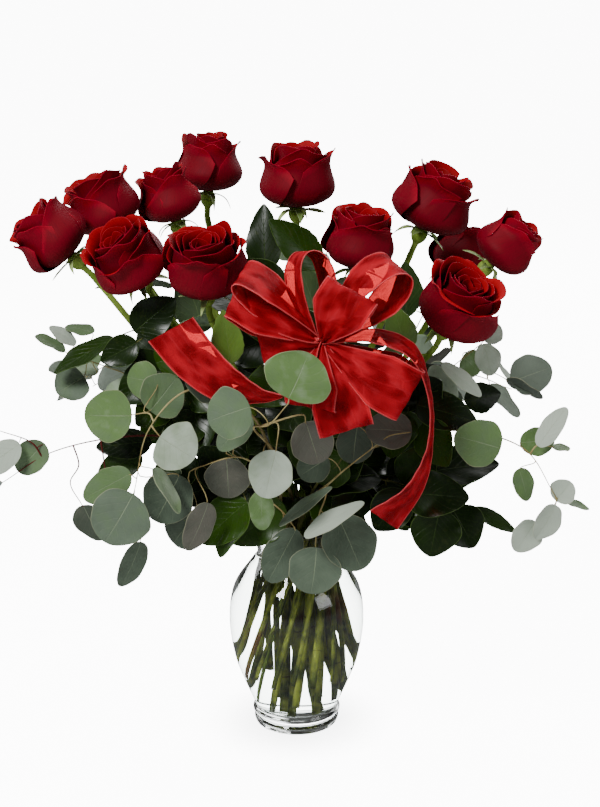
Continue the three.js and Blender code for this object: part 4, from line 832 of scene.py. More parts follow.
def as_grown(leaf, solid):
    """The leaf turned as its solid in the frame is, or None where the solid has no such leaf."""
    base, length, ahead, side, _ = leaf_axes(leaf)
    best, best_gap = None, SAME_TIP
    for swing, pitch in TURNS:
        ahead_now = turned_about(turned_about(ahead * length, [0, 0, 1], swing), side, pitch)
        face = turned_about(turned_about(np.array(leaf["face"], float), [0, 0, 1], swing), side, pitch)
        tried = {**leaf, "tip": base + ahead_now, "face": face}
        _, _, _, _, top = leaf_axes(tried)
        end = tried["tip"] - top * leaf["bend"] * length
        gap = np.linalg.norm(solid - end, axis=1).min()
        if gap < best_gap:
            best, best_gap = tried, gap
    return best


def leaf_grid(leaf, seed):
    """A blade for s along and w across. Its width follows OUTLINES, a little ragged, with teeth on a
    rose's leaf and a notch at a round one's tip; it bends down as the square of s, folds up along its
    midrib and waves towards its edge."""
    base, length, ahead, side, top = leaf_axes(leaf)
    s, w = LEAF_ROWS, LEAF_COLUMNS
    lead, full = OUTLINES[leaf["kind"]]
    own = [vary(seed + 0.31 * k) for k in range(7)]
    is_round = leaf["kind"] == "round"
    lead = lead + (0.16 * (own[0] - 0.7) if is_round else 0)
    half = 0.5 * leaf["width"] * np.sin(np.pi * s**lead).clip(0) ** full
    if leaf["kind"] == "rose":
        half = half * (1 + 0.07 * (s * 14 % 1 - 0.5))
    ragged = np.sin(7 * s + 6 * own[1] + 2 * np.sign(w))
    ragged = ragged + 0.5 * np.sin(17 * s + 6 * own[2] + 4 * np.sign(w))
    half = half * (1 + (0.035 if is_round else 0.012) * ragged * np.abs(w) ** 2)
    fold = {"round": 0.02 + 0.22 * own[3] ** 2, "salal": 0.16, "rose": 0.2}[leaf["kind"]]
    wave = {"round": 0.035, "salal": 0.06, "rose": 0.05}[leaf["kind"]]
    lift = fold * half * np.abs(w) ** 1.5 - leaf["bend"] * length * s**2
    ripple = np.sin(2 * np.pi * (1.4 * s + own[4]) + 2 * w)
    lift = lift + wave * leaf["width"] * ripple * w**2 * half / half.max()
    sway = 0.03 * length * np.sin(np.pi * s) * (own[5] - 0.5)
    notch = (0.07 if is_round else 0.0) * own[6] * np.exp(-((w / 0.3) ** 2)) * s**6
    s = s - notch
    spread = (w * half + sway)[..., None]
    return base + ahead * (s * length)[..., None] + side * spread + top * lift[..., None]


def nearest_on(lines, point):
    """The nearest of the lines' own points to a place, and the line's direction there."""
    line = min(lines, key=lambda one: np.linalg.norm(one - point, axis=1).min())
    k = int(np.linalg.norm(line - point, axis=1).argmin())
    way = line[min(k + 1, len(line) - 1)] - line[max(k - 1, 0)]
    return line[k], unit(way)


def stalk(lines, leaf, radius, tint=0.5):
    """A leaf's stalk: it leaves its twig along the twig and bends over into the blade."""
    base, length, ahead, _, top = leaf_axes(leaf)
    foot, way = nearest_on(lines, base)
    end = base + ahead * 0.06 * length - top * 0.3
    reach = 0.35 * np.linalg.norm(end - foot)
    t = np.linspace(0, 1, 8)[:, None]
    line = foot * (1 - t) ** 3 + 3 * (foot + way * reach) * t * (1 - t) ** 2
    line = line + 3 * (end - ahead * reach) * t**2 * (1 - t) + end * t**3
    return tube(line, np.linspace(radius, radius * 0.7, 8), 6, tint=tint)


# A leaf placed by rule: its shortest and longest length, width for length, and stalk.
LEAF_SIZES = {
    "round": {"length": (30, 46), "ratio": 0.95, "stalk": 10},
    "salal": {"length": (58, 78), "ratio": 0.7, "stalk": 6},
    "rose": {"length": (38, 52), "ratio": 0.62, "stalk": 12},
}


def between(a, b, t):
    return a + (b - a) * t


def at_length(line, share):
    """A place on the curve through a line's points at a share of its length, and the direction."""
    curve = curve_through(line)
    far = lengths(curve(np.linspace(0, 1, 201)))
    t = float(np.interp(share * far[-1], far, np.linspace(0, 1, 201)))
    return curve(t)[0], unit(curve(min(1, t + 1e-4))[0] - curve(max(0, t - 1e-4))[0])


def leaves_along(line, count, kind, first, last, seed):
    """Leaves set round a line at the golden angle, leaning outwards from the middle of the bunch."""
    rule, leaves = LEAF_SIZES[kind], []
    for k in range(count):
        place, way = at_length(line, min(1, between(first, last, (k + 0.5) / count)))
        turn = math.radians(GOLDEN_ANGLE * k + 57 * seed)
        away = unit(place * [1, 1, 0])
        out = np.array([math.cos(turn), math.sin(turn), 0])
        out = unit(out - way * (out @ way)) + away * 0.75 + way * 0.25
        low, high = (-0.7, 0.3) if kind == "round" else (-0.15, 0.35)
        out[2] += between(low, high, vary(k + 5 * seed))
        out = unit(out)
        length = between(*rule["length"], vary(3 * k + seed))
        base = place + out * rule["stalk"]
        face = away * (1 if kind == "round" else 0.6)
        face[2] += between(-0.2, 0.9, vary(k + 2.5 * seed)) if kind == "round" else 0.9
        face[0] += between(-0.5, 0.5, vary(7 * k + seed))
        face = unit(face - out * (face @ out))
        bend = 0.05 if kind == "round" else 0.16
        leaves.append(L(base, base + out * length, length * rule["ratio"], face, kind, bend))
    return leaves


ROSE_LEAVES = {
    "rose_06": L([-56, -102, 384], [-62, -112, 432], 28, FRONT, "rose"),
    "rose_07": L([24, 14, 438], [30, 10, 498], 30, [-0.2, -1, 0.1], "rose"),
    "rose_09": L([98, -20, 404], [94, -34, 462], 30, [0.2, -1, 0.1], "rose"),
    "rose_11": L([96, -70, 384], [84, -72, 428], 28, FRONT, "rose"),
}
# A leaf that shows its pale underside, on the far side of the bow.
TURNED_LEAVES = {"rose_07": L([4, 20, 450], [-31, 14, 487], 32, [0.2, 1, -0.5], "rose", 0.05)}
sepal_uv = np.stack([SEPAL_ALONG + 0 * SEPAL_ACROSS, (SEPAL_ACROSS + 1) / 2 + 0 * SEPAL_ALONG], -1)
seed = 0
for rose in roses:
    seed += 1
    node = f"{rose.name}_stem"
    solid = node_points(node)
    if rose.name in ROSE_LEAVES:
        wanted = [ROSE_LEAVES[rose.name]]
    else:
        wanted = leaves_along(rose.stem["coarse"], 1, "rose", 0.4, 0.8, seed)
    leaves = [leaf for leaf in (as_grown(leaf, solid) for leaf in wanted) if leaf]
    leaves += [TURNED_LEAVES[rose.name]] if rose.name in TURNED_LEAVES else []
    blades = [part(sepal_grid(rose, k), 2, sepal_uv, vary(k + rose.spin)) for k in range(5)]
    blades += [part(leaf_grid(leaf, seed), 0, LEAF_UV, vary(seed)) for leaf in leaves]
    finishes = [rose_leaf, rose_leaf_under, sepal_green, sepal_green]
    piece = new_piece(f"{rose.name}_leaves", blades, finishes, solid=False)
    settle(thicken(piece, LEAF_THICKNESS, 0), "rose_stem", node)
    if leaves:
        stalks = [stalk([rose.stem["fine"]], leaf, 1.1) for leaf in leaves]
        settle(new_piece(f"{rose.name}_leafstalk", stalks, [stem_green], solid=True), "rose_stem", node)


# ---- The foliage: nine sprays of salal with large glossy dark leaves, and ten of silver-dollar
# eucalyptus with round grey-green leaves on thin tan twigs. Every leaf's stalk grows from its twig.

# The salal's tones are near black: its own dark green, darkened further as painted shade of the dense
# foliage.
salal_top = leaf_finish(
    "salal_top",
    tones=[(0.018, 0.048, 0.0015), (0.007, 0.02, 0.0008), (0.003, 0.009, 0.0006)],
    vein=(0.04, 0.08, 0.01),
    ribs=7,
    gloss=0.22,
    edge=(0.09, 0.15, 0.03),
    spots=(0.02, 0.03, 0.004),
    shine=0.26,
    ribbing=0.18,
)
salal_under = leaf_finish(
    "salal_under",
    tones=[(0.09, 0.15, 0.04), (0.03, 0.06, 0.015)],
    vein=(0.15, 0.21, 0.07),
    ribs=7,
    gloss=0.45,
    edge=(0.08, 0.11, 0.035),
)
SILVERY = (0.32, 0.37, 0.3)
FRESH_GREEN = (0.085, 0.15, 0.045)
GREY_GREEN = (0.085, 0.115, 0.078)
# The dark and mauve-grey tones stand in part for leaves in the shade of the bunch: painted shade.
SHADED_DARK_GREEN = (0.04, 0.058, 0.038)
SHADED_MAUVE_GREY = (0.088, 0.085, 0.068)
eucalyptus_top = leaf_finish(
    "eucalyptus_top",
    tones=[SILVERY, FRESH_GREEN, GREY_GREEN, SHADED_DARK_GREEN, SHADED_MAUVE_GREY],
    vein=(0.24, 0.29, 0.18),
    ribs=6,
    gloss=0.5,
    edge=(0.32, 0.32, 0.2),
    shine=0.2,
    ribbing=0.08,
)
eucalyptus_under = leaf_finish(
    "eucalyptus_under",
    tones=[(0.3, 0.35, 0.3), (0.14, 0.17, 0.13), (0.07, 0.09, 0.07)],
    vein=(0.24, 0.28, 0.18),
    ribs=6,
    gloss=0.6,
    edge=(0.32, 0.32, 0.2),
    shine=0.2,
    ribbing=0.08,
)


def twig_finish(name, dark, pale, reddish=None):
    """Thin bark, mottled from dark to pale. Where a twig's tint is high it turns to the reddish."""
    paint = Paint(name)
    bark = paint.noise(paint.place(), 60.0, 3.0)
    colour = paint.mix(paint.mask(bark, 0.35, 0.7), dark, pale)
    if reddish:
        colour = paint.mix(paint.mask(paint.tint(), 0.6, 0.9), colour, reddish)
    # Under the water line the bark turns olive and darker, the darkness partly painted shade.
    return paint.finish(
        paint.surface(
            Base_Color=wet_and_shaded_below(paint, paint.place(), colour),
            Roughness=0.5 + 0.2 * bark,
            Specular_IOR_Level=0.1,
            Normal=paint.bump(bark, 0.4, 0.0005),
        )
    )


twig_brown = twig_finish("salal_twig", (0.05, 0.055, 0.015), (0.12, 0.12, 0.035))
twig_tan = twig_finish("eucalyptus_twig", (0.2, 0.15, 0.06), (0.33, 0.28, 0.13), (0.08, 0.012, 0.01))

# The places each branch bends through above the vase, and those of its side twigs.
STEMS = {
    "salal_01": [[-70, -30, 300], [-115, -50, 355], [-128, -58, 400]],
    "salal_02": [[-30, -60, 255], [-62, -84, 270], [-90, -80, 290]],
    "salal_03": [[-12, -22, 330], [-18, -32, 420], [-22, -36, 448]],
    "salal_04": [[55, -40, 258], [95, -66, 262], [128, -64, 246]],
    "salal_05": [[45, -30, 300], [92, -60, 330], [120, -60, 338]],
    "salal_06": [[20, -58, 262], [40, -84, 292], [48, -92, 340]],
    "salal_07": [[70, 70, 300], [110, 110, 350], [130, 130, 385]],
    "salal_08": [[20, 60, 330], [25, 110, 400], [30, 125, 440]],
    "salal_09": [[-50, 60, 310], [-100, 110, 370], [-120, 130, 410]],
    "eucalyptus_01": [[-40, -74, 330], [-92, -104, 361], [-128, -104, 325], [-141, -110, 272]],
    "eucalyptus_02": [[-72, -44, 290], [-135, -60, 306], [-217, -60, 291], [-264, -61, 262]],
    "eucalyptus_03": [[-20, -88, 300], [-36, -140, 338], [-22, -176, 352], [-7, -192, 374]],
    "eucalyptus_04": [[-80, -26, 322], [-150, -38, 356], [-205, -24, 372]],
    "eucalyptus_05": [[70, -62, 296], [140, -96, 322], [200, -94, 304], [228, -98, 262]],
    "eucalyptus_06": [[70, -30, 310], [120, -50, 352], [160, -42, 382]],
    "eucalyptus_07": [[24, -76, 262], [44, -104, 290], [78, -116, 322]],
    "eucalyptus_08": [[-18, -70, 262], [-50, -104, 300], [-88, -104, 290]],
    "eucalyptus_09": [[90, 60, 290], [160, 90, 320], [210, 110, 300]],
    "eucalyptus_10": [[-80, 70, 290], [-150, 110, 330], [-200, 120, 300]],
}
TWIGS = {
    "eucalyptus_01": [[[-128, -98, 338], [-143, -95, 336]], [[-122, -110, 326], [-118, -110, 321]]],
    "eucalyptus_02": [
        [[-195, -60, 278], [-203, -61, 262], [-193, -62, 241]],
        [[-236, -62, 300], [-264, -62, 311]],
        [[-172, -60, 280], [-170, -60, 262]],
    ],
    "eucalyptus_03": [[[-16, -152, 346], [-17, -150, 321]], [[6, -142, 350], [8, -134, 341]]],
    "eucalyptus_05": [[[176, -103, 310]], [[212, -88, 306], [226, -84, 303]]],
    "eucalyptus_07": [[[26, -88, 258], [19, -96, 240], [17, -97, 216]]],
    "eucalyptus_08": [[[-30, -84, 262], [-10, -84, 240], [-2, -84, 228]]],
}
# The leaves that are placed one by one, branch by branch.
LEAVES = {
    "salal_01": [
        L([-142, -62, 402], [-106, -66, 432], 36, [0.2, -1, 0.3]),
        L([-162, -38, 390], [-216, -60, 368], 30, LEVEL),
        L([-130, -52, 298], [-182, -46, 290], 28),
        L([-140, -42, 283], [-182, -38, 260], 28),
        L([-140, -60, 392], [-172, -66, 376], 28),
        L([-112, -56, 352], [-130, -80, 385], 34, [0, -1, 0.6]),
        L([-84, -52, 320], [-120, -72, 300], 34, [0, -1, 0.6]),
        L([-70, -34, 305], [-60, -66, 262], 40, [0, -1, 0.4]),
        L([-96, -42, 335], [-82, -72, 298], 40, [0, -1, 0.4]),
        L([-100, -46, 342], [-58, -66, 352], 40, [0, -1, 0.4]),
        L([-124, -56, 372], [-92, -74, 392], 38, [0, -1, 0.4]),
        L([-122, -54, 366], [-156, -64, 338], 38, [0, -1, 0.4]),
        L([-100, -42, 330], [-140, -48, 298], 42, [0, -1, 0.3]),
        L([-112, -48, 345], [-150, -52, 320], 38, [0, -1, 0.3]),
    ],
    "salal_02": [
        L([-43, -90, 254], [-86, -102, 212], 40),
        L([-12, -75, 248], [-58, -92, 213], 42),
        L([-88, -82, 292], [-122, -64, 262], 36, [-0.3, -1, 0.3]),
        L([-60, -80, 266], [-84, -72, 300], 38, [0, -1, 0.3]),
        L([-90, -70, 288], [-136, -60, 284], 40, [0, -1, 0.3]),
        L([-64, -62, 262], [-106, -62, 248], 38, [0, -1, 0.3]),
    ],
    "salal_03": [
        L([-27, -34, 446], [-30, -20, 508], 32, [-0.2, -1, 0.1], "rose"),
        L([22, -30, 452], [-22, -40, 497], 32, [0.1, -1, 0.3], "rose"),
        L([-10, -44, 434], [-52, -52, 462], 34, [0, -1, 0.4]),
        L([-14, -40, 400], [-56, -66, 418], 36, [0, -1, 0.6]),
        L([-8, -30, 320], [-40, -62, 290], 42, [0, -1, 0.4]),
        L([-10, -32, 350], [-52, -60, 330], 42, [0, -1, 0.4]),
        L([-6, -30, 330], [42, -62, 312], 42, [0, -1, 0.4]),
        L([-12, -34, 372], [36, -64, 360], 42, [0, -1, 0.4]),
        L([-20, -36, 390], [-66, -58, 380], 40, [0, -1, 0.4]),
        L([-14, -40, 396], [28, -72, 408], 40, [0, -1, 0.4]),
        L([-10, -36, 302], [-44, -56, 268], 40, [0, -1, 0.3]),
    ],
    "salal_04": [
        L([113, -70, 274], [182, -62, 284], 40, [0, -0.7, 0.8]),
        L([95, -92, 263], [152, -100, 262], 42, [0, -0.9, 0.5]),
        L([128, -82, 244], [120, -88, 200], 46),
        L([140, -66, 240], [160, -78, 206], 42),
        L([131, -60, 220], [126, -66, 194], 12, FRONT, "rose"),
        L([160, -60, 238], [200, -62, 214], 14, FRONT, "rose"),
        L([96, -84, 262], [70, -80, 222], 38),
        L([62, -46, 258], [36, -72, 228], 38, [0, -1, 0.3]),
        L([96, -64, 262], [120, -76, 300], 38, [0, -1, 0.3]),
        L([80, -56, 260], [100, -76, 222], 38, [0, -1, 0.3]),
    ],
    "salal_05": [
        L([105, -85, 342], [158, -84, 326], 34, [0, -0.9, 0.5]),
        L([112, -88, 327], [134, -90, 288], 36),
        L([150, -48, 335], [184, -42, 340], 28, FRONT, "rose"),
        L([96, -74, 330], [84, -88, 292], 36),
        L([92, -64, 338], [70, -84, 372], 34),
        L([60, -40, 305], [64, -72, 264], 40, [0, -1, 0.4]),
        L([84, -54, 322], [112, -74, 288], 40, [0, -1, 0.4]),
        L([84, -56, 324], [58, -78, 354], 40, [0, -1, 0.4]),
        L([104, -60, 334], [134, -78, 366], 40, [0, -1, 0.4]),
    ],
    "salal_06": [
        L([42, -86, 296], [8, -98, 262], 38),
        L([46, -92, 330], [14, -104, 356], 34),
        L([48, -92, 342], [66, -104, 382], 32),
        L([30, -70, 280], [-8, -78, 304], 38, [0, -1, 0.3]),
        L([20, -48, 286], [-8, -62, 252], 38, [0, -1, 0.3]),
    ],
    "eucalyptus_01": [
        L([-143, -95, 335], [-186, -90, 334], 46),
        L([-122, -76, 360], [-150, -66, 362], 34, [-0.2, -1, 0.3]),
        L([-128, -84, 336], [-104, -74, 364], 42, [0.2, -1, 0.2]),
        L([-118, -112, 321], [-88, -124, 306], 46, [0.45, -1, 0.2]),
        L([-142, -112, 269], [-168, -120, 226], 54),
        L([-145, -98, 283], [-190, -92, 258], 30, [-0.3, -1, 0.4]),
        L([-137, -105, 222], [-156, -95, 172], 24, [0.4, -1, 0]),
        L([-102, -98, 282], [-126, -92, 234], 46),
        L([-124, -116, 294], [-98, -126, 258], 24, [0.9, -0.35, 0.4]),
        L([-115, -95, 306], [-104, -92, 279], 22, [-0.8, -0.5, 0.2]),
    ],
    "eucalyptus_02": [
        L([-192, -62, 241], [-178, -55, 202], 32, [-0.3, -1, 0.2]),
        L([-225, -58, 298], [-250, -62, 272], 30, [-0.2, -1, 0.1]),
        L([-246, -66, 300], [-288, -74, 274], 28, [-0.2, -1, 0.3]),
        L([-264, -62, 262], [-292, -60, 246], 22, LEVEL),
    ],
    "eucalyptus_03": [
        L([-6, -195, 380], [10, -197, 418], 57, [0, -1, 0.15]),
        L([-38, -172, 366], [-74, -168, 352], 44, [-0.1, -0.9, 0.3]),
        L([-17, -150, 321], [-27, -148, 276], 38),
        L([-31, -128, 277], [-29, -122, 237], 22),
        L([8, -132, 341], [20, -122, 298], 38),
    ],
    "eucalyptus_04": [
        L([-208, -24, 374], [-233, -26, 391], 22, [0.3, -0.2, 1]),
        L([-190, -38, 354], [-213, -52, 344], 36, [-0.2, -1, 0.5]),
        L([-180, -20, 352], [-206, -10, 361], 24, [0.3, -0.35, 1]),
        L([-200, -14, 377], [-222, -8, 395], 20, [0.5, -0.4, 0.8]),
        L([-184, -8, 387], [-210, 4, 393], 22, [0.2, -0.3, 1]),
        L([-140, -58, 342], [-171, -46, 346], 28, [-0.1, -0.9, 0.6]),
        L([-150, -36, 362], [-172, -34, 372], 20, [0, -0.5, 1]),
    ],
    "eucalyptus_05": [
        L([178, -104, 308], [138, -114, 322], 42),
        L([197, -82, 306], [230, -74, 306], 26, [0.1, -1, 0.3]),
        L([212, -92, 306], [236, -84, 340], 20, [-0.6, -0.9, 0.1]),
        L([196, -90, 285], [206, -92, 255], 20, [0.4, -1, 0]),
        L([211, -102, 240], [194, -110, 214], 28, [0.2, -1, 0.1]),
        L([228, -98, 258], [242, -94, 274], 24, [-0.3, -1, 0.2]),
        L([228, -104, 256], [212, -112, 226], 26, [0.4, -1, 0]),
        L([226, -84, 302], [242, -78, 302], 14, LEVEL),
        L([238, -96, 256], [260, -92, 250], 14, LEVEL),
    ],
    "eucalyptus_06": [
        L([167, -40, 388], [181, -36, 402], 22, [-0.3, -1, 0.1]),
        L([166, -46, 387], [174, -54, 360], 24, [0.2, -1, 0.1]),
        L([150, -22, 369], [168, -12, 350], 26, [0.3, -1, 0.2]),
        L([117, -70, 372], [144, -68, 342], 20, [0.2, -1, 0.6]),
        L([128, -62, 347], [142, -52, 326], 26, [0.2, -1, 0.2]),
        L([127, -77, 377], [164, -82, 351], 18, [0.1, -0.7, 1]),
    ],
    "eucalyptus_07": [
        L([100, -114, 326], [60, -110, 328], 34, [0, -1, 0.5]),
        L([53, -102, 328], [50, -90, 292], 34),
        L([28, -94, 296], [2, -88, 276], 28),
        L([7, -122, 233], [56, -120, 268], 26, [-0.5, -0.35, 1]),
        L([37, -94, 242], [58, -104, 194], 48),
        L([18, -98, 214], [13, -106, 172], 48),
    ],
    "eucalyptus_08": [
        L([0, -84, 226], [-26, -92, 178], 34, [-0.2, -1, 0.1]),
        L([-77, -110, 260], [-94, -114, 215], 28, [0.5, -1, 0.1]),
        L([-89, -86, 240], [-112, -76, 208], 38, [-0.2, -1, 0.2]),
        L([-39, -121, 343], [-67, -123, 312], 24, [0.6, -0.5, 0.8]),
        L([-15, -112, 239], [28, -106, 277], 20, [-0.6, -0.3, 1]),
        L([-61, -98, 297], [-60, -92, 256], 40),
        L([-58, -96, 365], [-101, -90, 377], 40),
    ],
}
# The leaves that a branch has besides, by rule: how many, and from and to which share of its length.
FILL = {
    "salal_02": (2, 0.3, 0.6), "salal_03": (3, 0.3, 0.6), "salal_04": (5, 0.2, 0.95),
    "salal_06": (2, 0.1, 0.4), "salal_07": (7, 0.15, 1), "salal_08": (7, 0.2, 1),
    "salal_09": (7, 0.15, 1), "eucalyptus_06": (1, 0.35, 0.6), "eucalyptus_09": (7, 0.3, 1),
    "eucalyptus_10": (7, 0.3, 1),
}
# The tones of a branch's leaves in the order of LEAVES: 0 is silvery, 0.3 fresh green, 0.5 grey-green,
# 0.7 dark and 0.9 mauve-grey. The dark and mauve-grey tones are partly painted shade on leaves that lie
# in shade.
TONES = {
    "eucalyptus_01": [0.32, 0.34, 0.4, 0.16, 0.5, 0.36, 0.6, 0.66, 0.22, 0.4],
    "eucalyptus_02": [0.75, 0.42, 0.05, 0.05],
    "eucalyptus_03": [0.3, 0.44, 0.12, 0.3, 0.88],
    "eucalyptus_04": [0.38, 0.5, 0.2, 0.1, 0.4, 0.2, 0.5],
    "eucalyptus_05": [0.36, 0.3, 0.08, 0.36, 0.06, 0.08, 0.05, 0.3, 0.35],
    "eucalyptus_06": [0.05, 0.12, 0.3, 0.15, 0.7, 0.1],
    "eucalyptus_07": [0.9, 0.7, 0.66, 0.06, 0.6, 0.55],
    "eucalyptus_08": [0.62, 0.88, 0.66, 0.45, 0.5, 0.85, 0.66],
}
# The room that the smaller leaves inside the bunch keep to.
BUNCH_RADIUS, BUNCH_FRONT, BUNCH_LOW, BUNCH_HIGH = 135, -74, 215, 440


def inner_leaves(line, seed):
    """The smaller leaves of a salal branch inside the bunch, which fill the gaps between the stems. They
    take the darker tones, as painted shade inside the bunch.
    """
    leaves = leaves_along(line, 16, "salal", 0.0, 0.85, seed)
    kept = []
    for k, leaf in enumerate(leaves):
        base = leaf["base"]
        tip = base + (leaf["tip"] - base) * 0.85
        inside = max(math.hypot(*base[:2]), math.hypot(*tip[:2])) < BUNCH_RADIUS
        behind = min(base[1], tip[1]) > BUNCH_FRONT
        if inside and behind and BUNCH_LOW < tip[2] < BUNCH_HIGH and base[2] > BUNCH_LOW - 3:
            # The tone 0.55 to 0.95 picks the darkest greens: painted shade inside the bunch.
            kept.append({**leaf, "tip": tip, "tone": 0.55 + 0.4 * vary(k + seed)})
    return kept


def twigs_along(line, count, seed):
    """Side twigs of a eucalyptus branch: each leaves it outwards and forwards and droops at its end."""
    twigs = []
    for k in range(count):
        place, way = at_length(line, 0.4 + 0.5 * (k + 0.5) / count)
        turn = math.radians(180 * k + 67 * seed)
        round_it = np.array([math.cos(turn), math.sin(turn), 0.1])
        out = unit(round_it + unit(place * [1, 1, 0]) * 0.6 + way * 0.5)
        twigs.append([place + out * 26, place + out * 50 - [0, 0, 12]])
    return twigs


for name, places in STEMS.items():
    seed += 1
    is_salal = name.startswith("salal")
    kind = "salal" if is_salal else "eucalyptus"
    thick = 2.2 if is_salal else 1.9
    shape = "salal" if is_salal else "round"
    stem = stem_lines(name, thick, places)
    wanted = [{**leaf, "kind": leaf["kind"] or shape} for leaf in LEAVES.get(name, [])]
    count, first, last = FILL.get(name, (0, 0, 1))
    wanted += leaves_along(stem["coarse"], count, shape, first, last, seed)
    twigs = list(TWIGS.get(name, []))
    if not is_salal and count > 6:
        for mid, end in twigs_along(stem["coarse"], 2, seed):
            twigs.append([mid, end])
            wanted += leaves_along([mid, (mid + end) / 2, end], 2, "round", 0.2, 1, seed)
            seed += 1
    lines = [stem["fine"]]
    for twig in twigs:
        root, _ = nearest_on([stem["fine"]], np.array(twig[0], float))
        lines.append(curve_through([root, *twig])(np.linspace(0, 1, 8 * len(twig))))
    solid = node_points(name)
    tones = TONES.get(name, [])
    for i, leaf in enumerate(wanted):
        leaf["tone"] = tones[i] if i < len(tones) else vary(3 * seed + 1.7 * i)
    leaves = [leaf for leaf in (as_grown(leaf, solid) for leaf in wanted) if leaf]
    if is_salal:
        leaves += inner_leaves(stem["coarse"], seed + 40)
    reds = 1.0 if name == "eucalyptus_02" else 0.4
    straight = len(stem["whole"]) - len(stem["fine"])
    tapering = np.geomspace(0.9 * thick, 0.42, len(stem["fine"]))
    radii = np.concatenate([np.full(straight, thick), tapering])
    wood = [tube(stem["whole"], radii, 10, tint=reds)]
    wood += [tube(line, np.linspace(0.9, 0.45, len(line)), 7, tint=reds) for line in lines[1:]]
    wood += [stalk(lines, leaf, 0.8 if is_salal else 0.55, reds) for leaf in leaves]
    blades = []
    for i, leaf in enumerate(leaves):
        blades.append(part(leaf_grid(leaf, 10 * seed + i), 0, LEAF_UV, leaf["tone"]))
    finishes = [salal_top, salal_under] if is_salal else [eucalyptus_top, eucalyptus_under]
    twig = new_piece(f"{name}_twigs", wood, [twig_brown if is_salal else twig_tan], solid=True)
    settle(twig, f"{kind}_leaf", name)
    piece = new_piece(f"{name}_blades", blades, finishes, solid=False)
    settle(thicken(piece, LEAF_THICKNESS, 0), f"{kind}_leaf", name)


# ---- The stake: a thin green-stained wooden pick that stands among the stems in the vase and carries
# the bow. Its blunt end is pushed into the knot.

STAKE_THICK = 1.6  # half the stake's thickness
paint = Paint("stained_wood")
pair, _, _ = paint.uv()
grain = paint.noise(paint.stretched(pair, (0.4, 14.0, 1.0)), 4.0, 3.0)
stain = paint.finish(
    paint.surface(
        Base_Color=paint.mix(paint.mask(grain, 0.35, 0.7), (0.045, 0.075, 0.01), (0.13, 0.17, 0.03)),
        Roughness=0.65 + 0.2 * grain,
        Specular_IOR_Level=0.1,
        Normal=paint.bump(grain, 0.5, 0.0004),
    )
)
stake = stem_lines("bow_stake", STAKE_THICK, [[22, -60, 300], [23, -110, 372], [23, -148, 414]])
straight = len(stake["whole"]) - len(stake["fine"])
tapering = np.linspace(STAKE_THICK, 1.4, len(stake["fine"]))
radii = np.concatenate([np.full(straight, STAKE_THICK), tapering])
pick = new_piece("bow_pick", [tube(stake["whole"], radii, 10)], [stain], solid=True)
settle(pick, "stake_wood", "bow_stake")


# ---- The bow: one length of sheer red organza ribbon with a wire sewn into both edges, laid in nine
# loops and two tails, gathered and bound at a knot on the stake.

KNOT = np.array([22.0, -152.0, 416.0])
RIBBON_WIDTH = 46.0
# Where each loop ends, the way it swells, how wide it opens and how far it rolls, in degrees.
LOOPS = [
    ([-46, -146, 473], [6, -4, 16], 11, -5),
    ([-53, -152, 454], [0, -14, 6], 12, 38),
    ([7, -138, 490], [-16, -6, 6], 20, -10),
    ([85, -138, 478], [-8, -6, 18], 20, 3),
    ([45, -180, 466], [0, -18, 8], 13, 5),
    ([42, -172, 345], [0, -14, 4], 15, 8),
    ([95, -168, 374], [12, -14, -6], 18, -12),
    ([12, -168, 364], [-4, -14, 2], 12, 12),
    ([-28, -158, 406], [-2, -10, -8], 8, 40),
]
# Each tail: the places it goes by, its sideways at each and its width there.
TAILS = [
    (
        [
            [22, -152, 416], [8, -160, 393], [-8, -154, 371], [-29, -146, 367], [-56, -142, 374],
            [-82, -134, 392], [-106, -124, 420],
        ],
        [
            [0, -0.4, 1], [0.4, -0.8, 0.3], [0.2, -0.9, 0.35], [0.2, -0.8, 0.5], [0.5, -0.5, 0.7],
            [0.8, -0.25, 0.5], [0.86, -0.1, 0.5],
        ],
        [9, 22, 34, 38, 42, 44, 44],
    ),
    (
        [
            [22, -152, 416], [63, -160, 424], [97, -152, 408], [112, -146, 371], [114, -138, 326],
            [103, -130, 282], [76, -124, 249],
        ],
        [
            [0, 1, 0.2], [0.1, 1, 0.3], [0.15, 1, 0.1], [0.1, 1, 0], [0.2, 1, 0], [0.5, 0.9, -0.3],
            [0.6, 0.5, -0.6],
        ],
        [9, 22, 34, 38, 38, 38, 40],
    ),
]
RIBBON_ACROSS = np.concatenate([[-0.5, -0.485], np.linspace(-0.42, 0.42, 13), [0.485, 0.5]])


def loop_line(end, lift, opened, roll):
    """A loop's middle line for t round it: out from the knot and back by (1 - cos t) / 2, and apart by
    sin t; its width grows from the knot, and its sideways turns with the distance out."""
    end = np.array(end, float)
    length, axis = np.linalg.norm(end - KNOT), unit(end - KNOT)
    lift = np.array(lift, float)
    swell = unit(lift - axis * (lift @ axis))
    across = np.cross(axis, swell)
    t = np.linspace(0, 2 * np.pi, 61)[:, None]
    out = 0.5 - 0.5 * np.cos(t)
    apart = opened * np.sin(t) * (0.35 + 0.65 * out) + np.where(t < np.pi, 1.5, -1.5) * (1 - out)
    line = KNOT + axis * (3 + (length - 3) * out) + swell * apart
    widths = between(6, RIBBON_WIDTH, np.minimum(1, out * 1.5))
    twist = np.radians(roll) * out
    sideways = across * np.cos(twist) + np.cross(axis, across) * np.sin(twist)
    return line, widths, sideways, np.clip(1 - out, 0, 1)


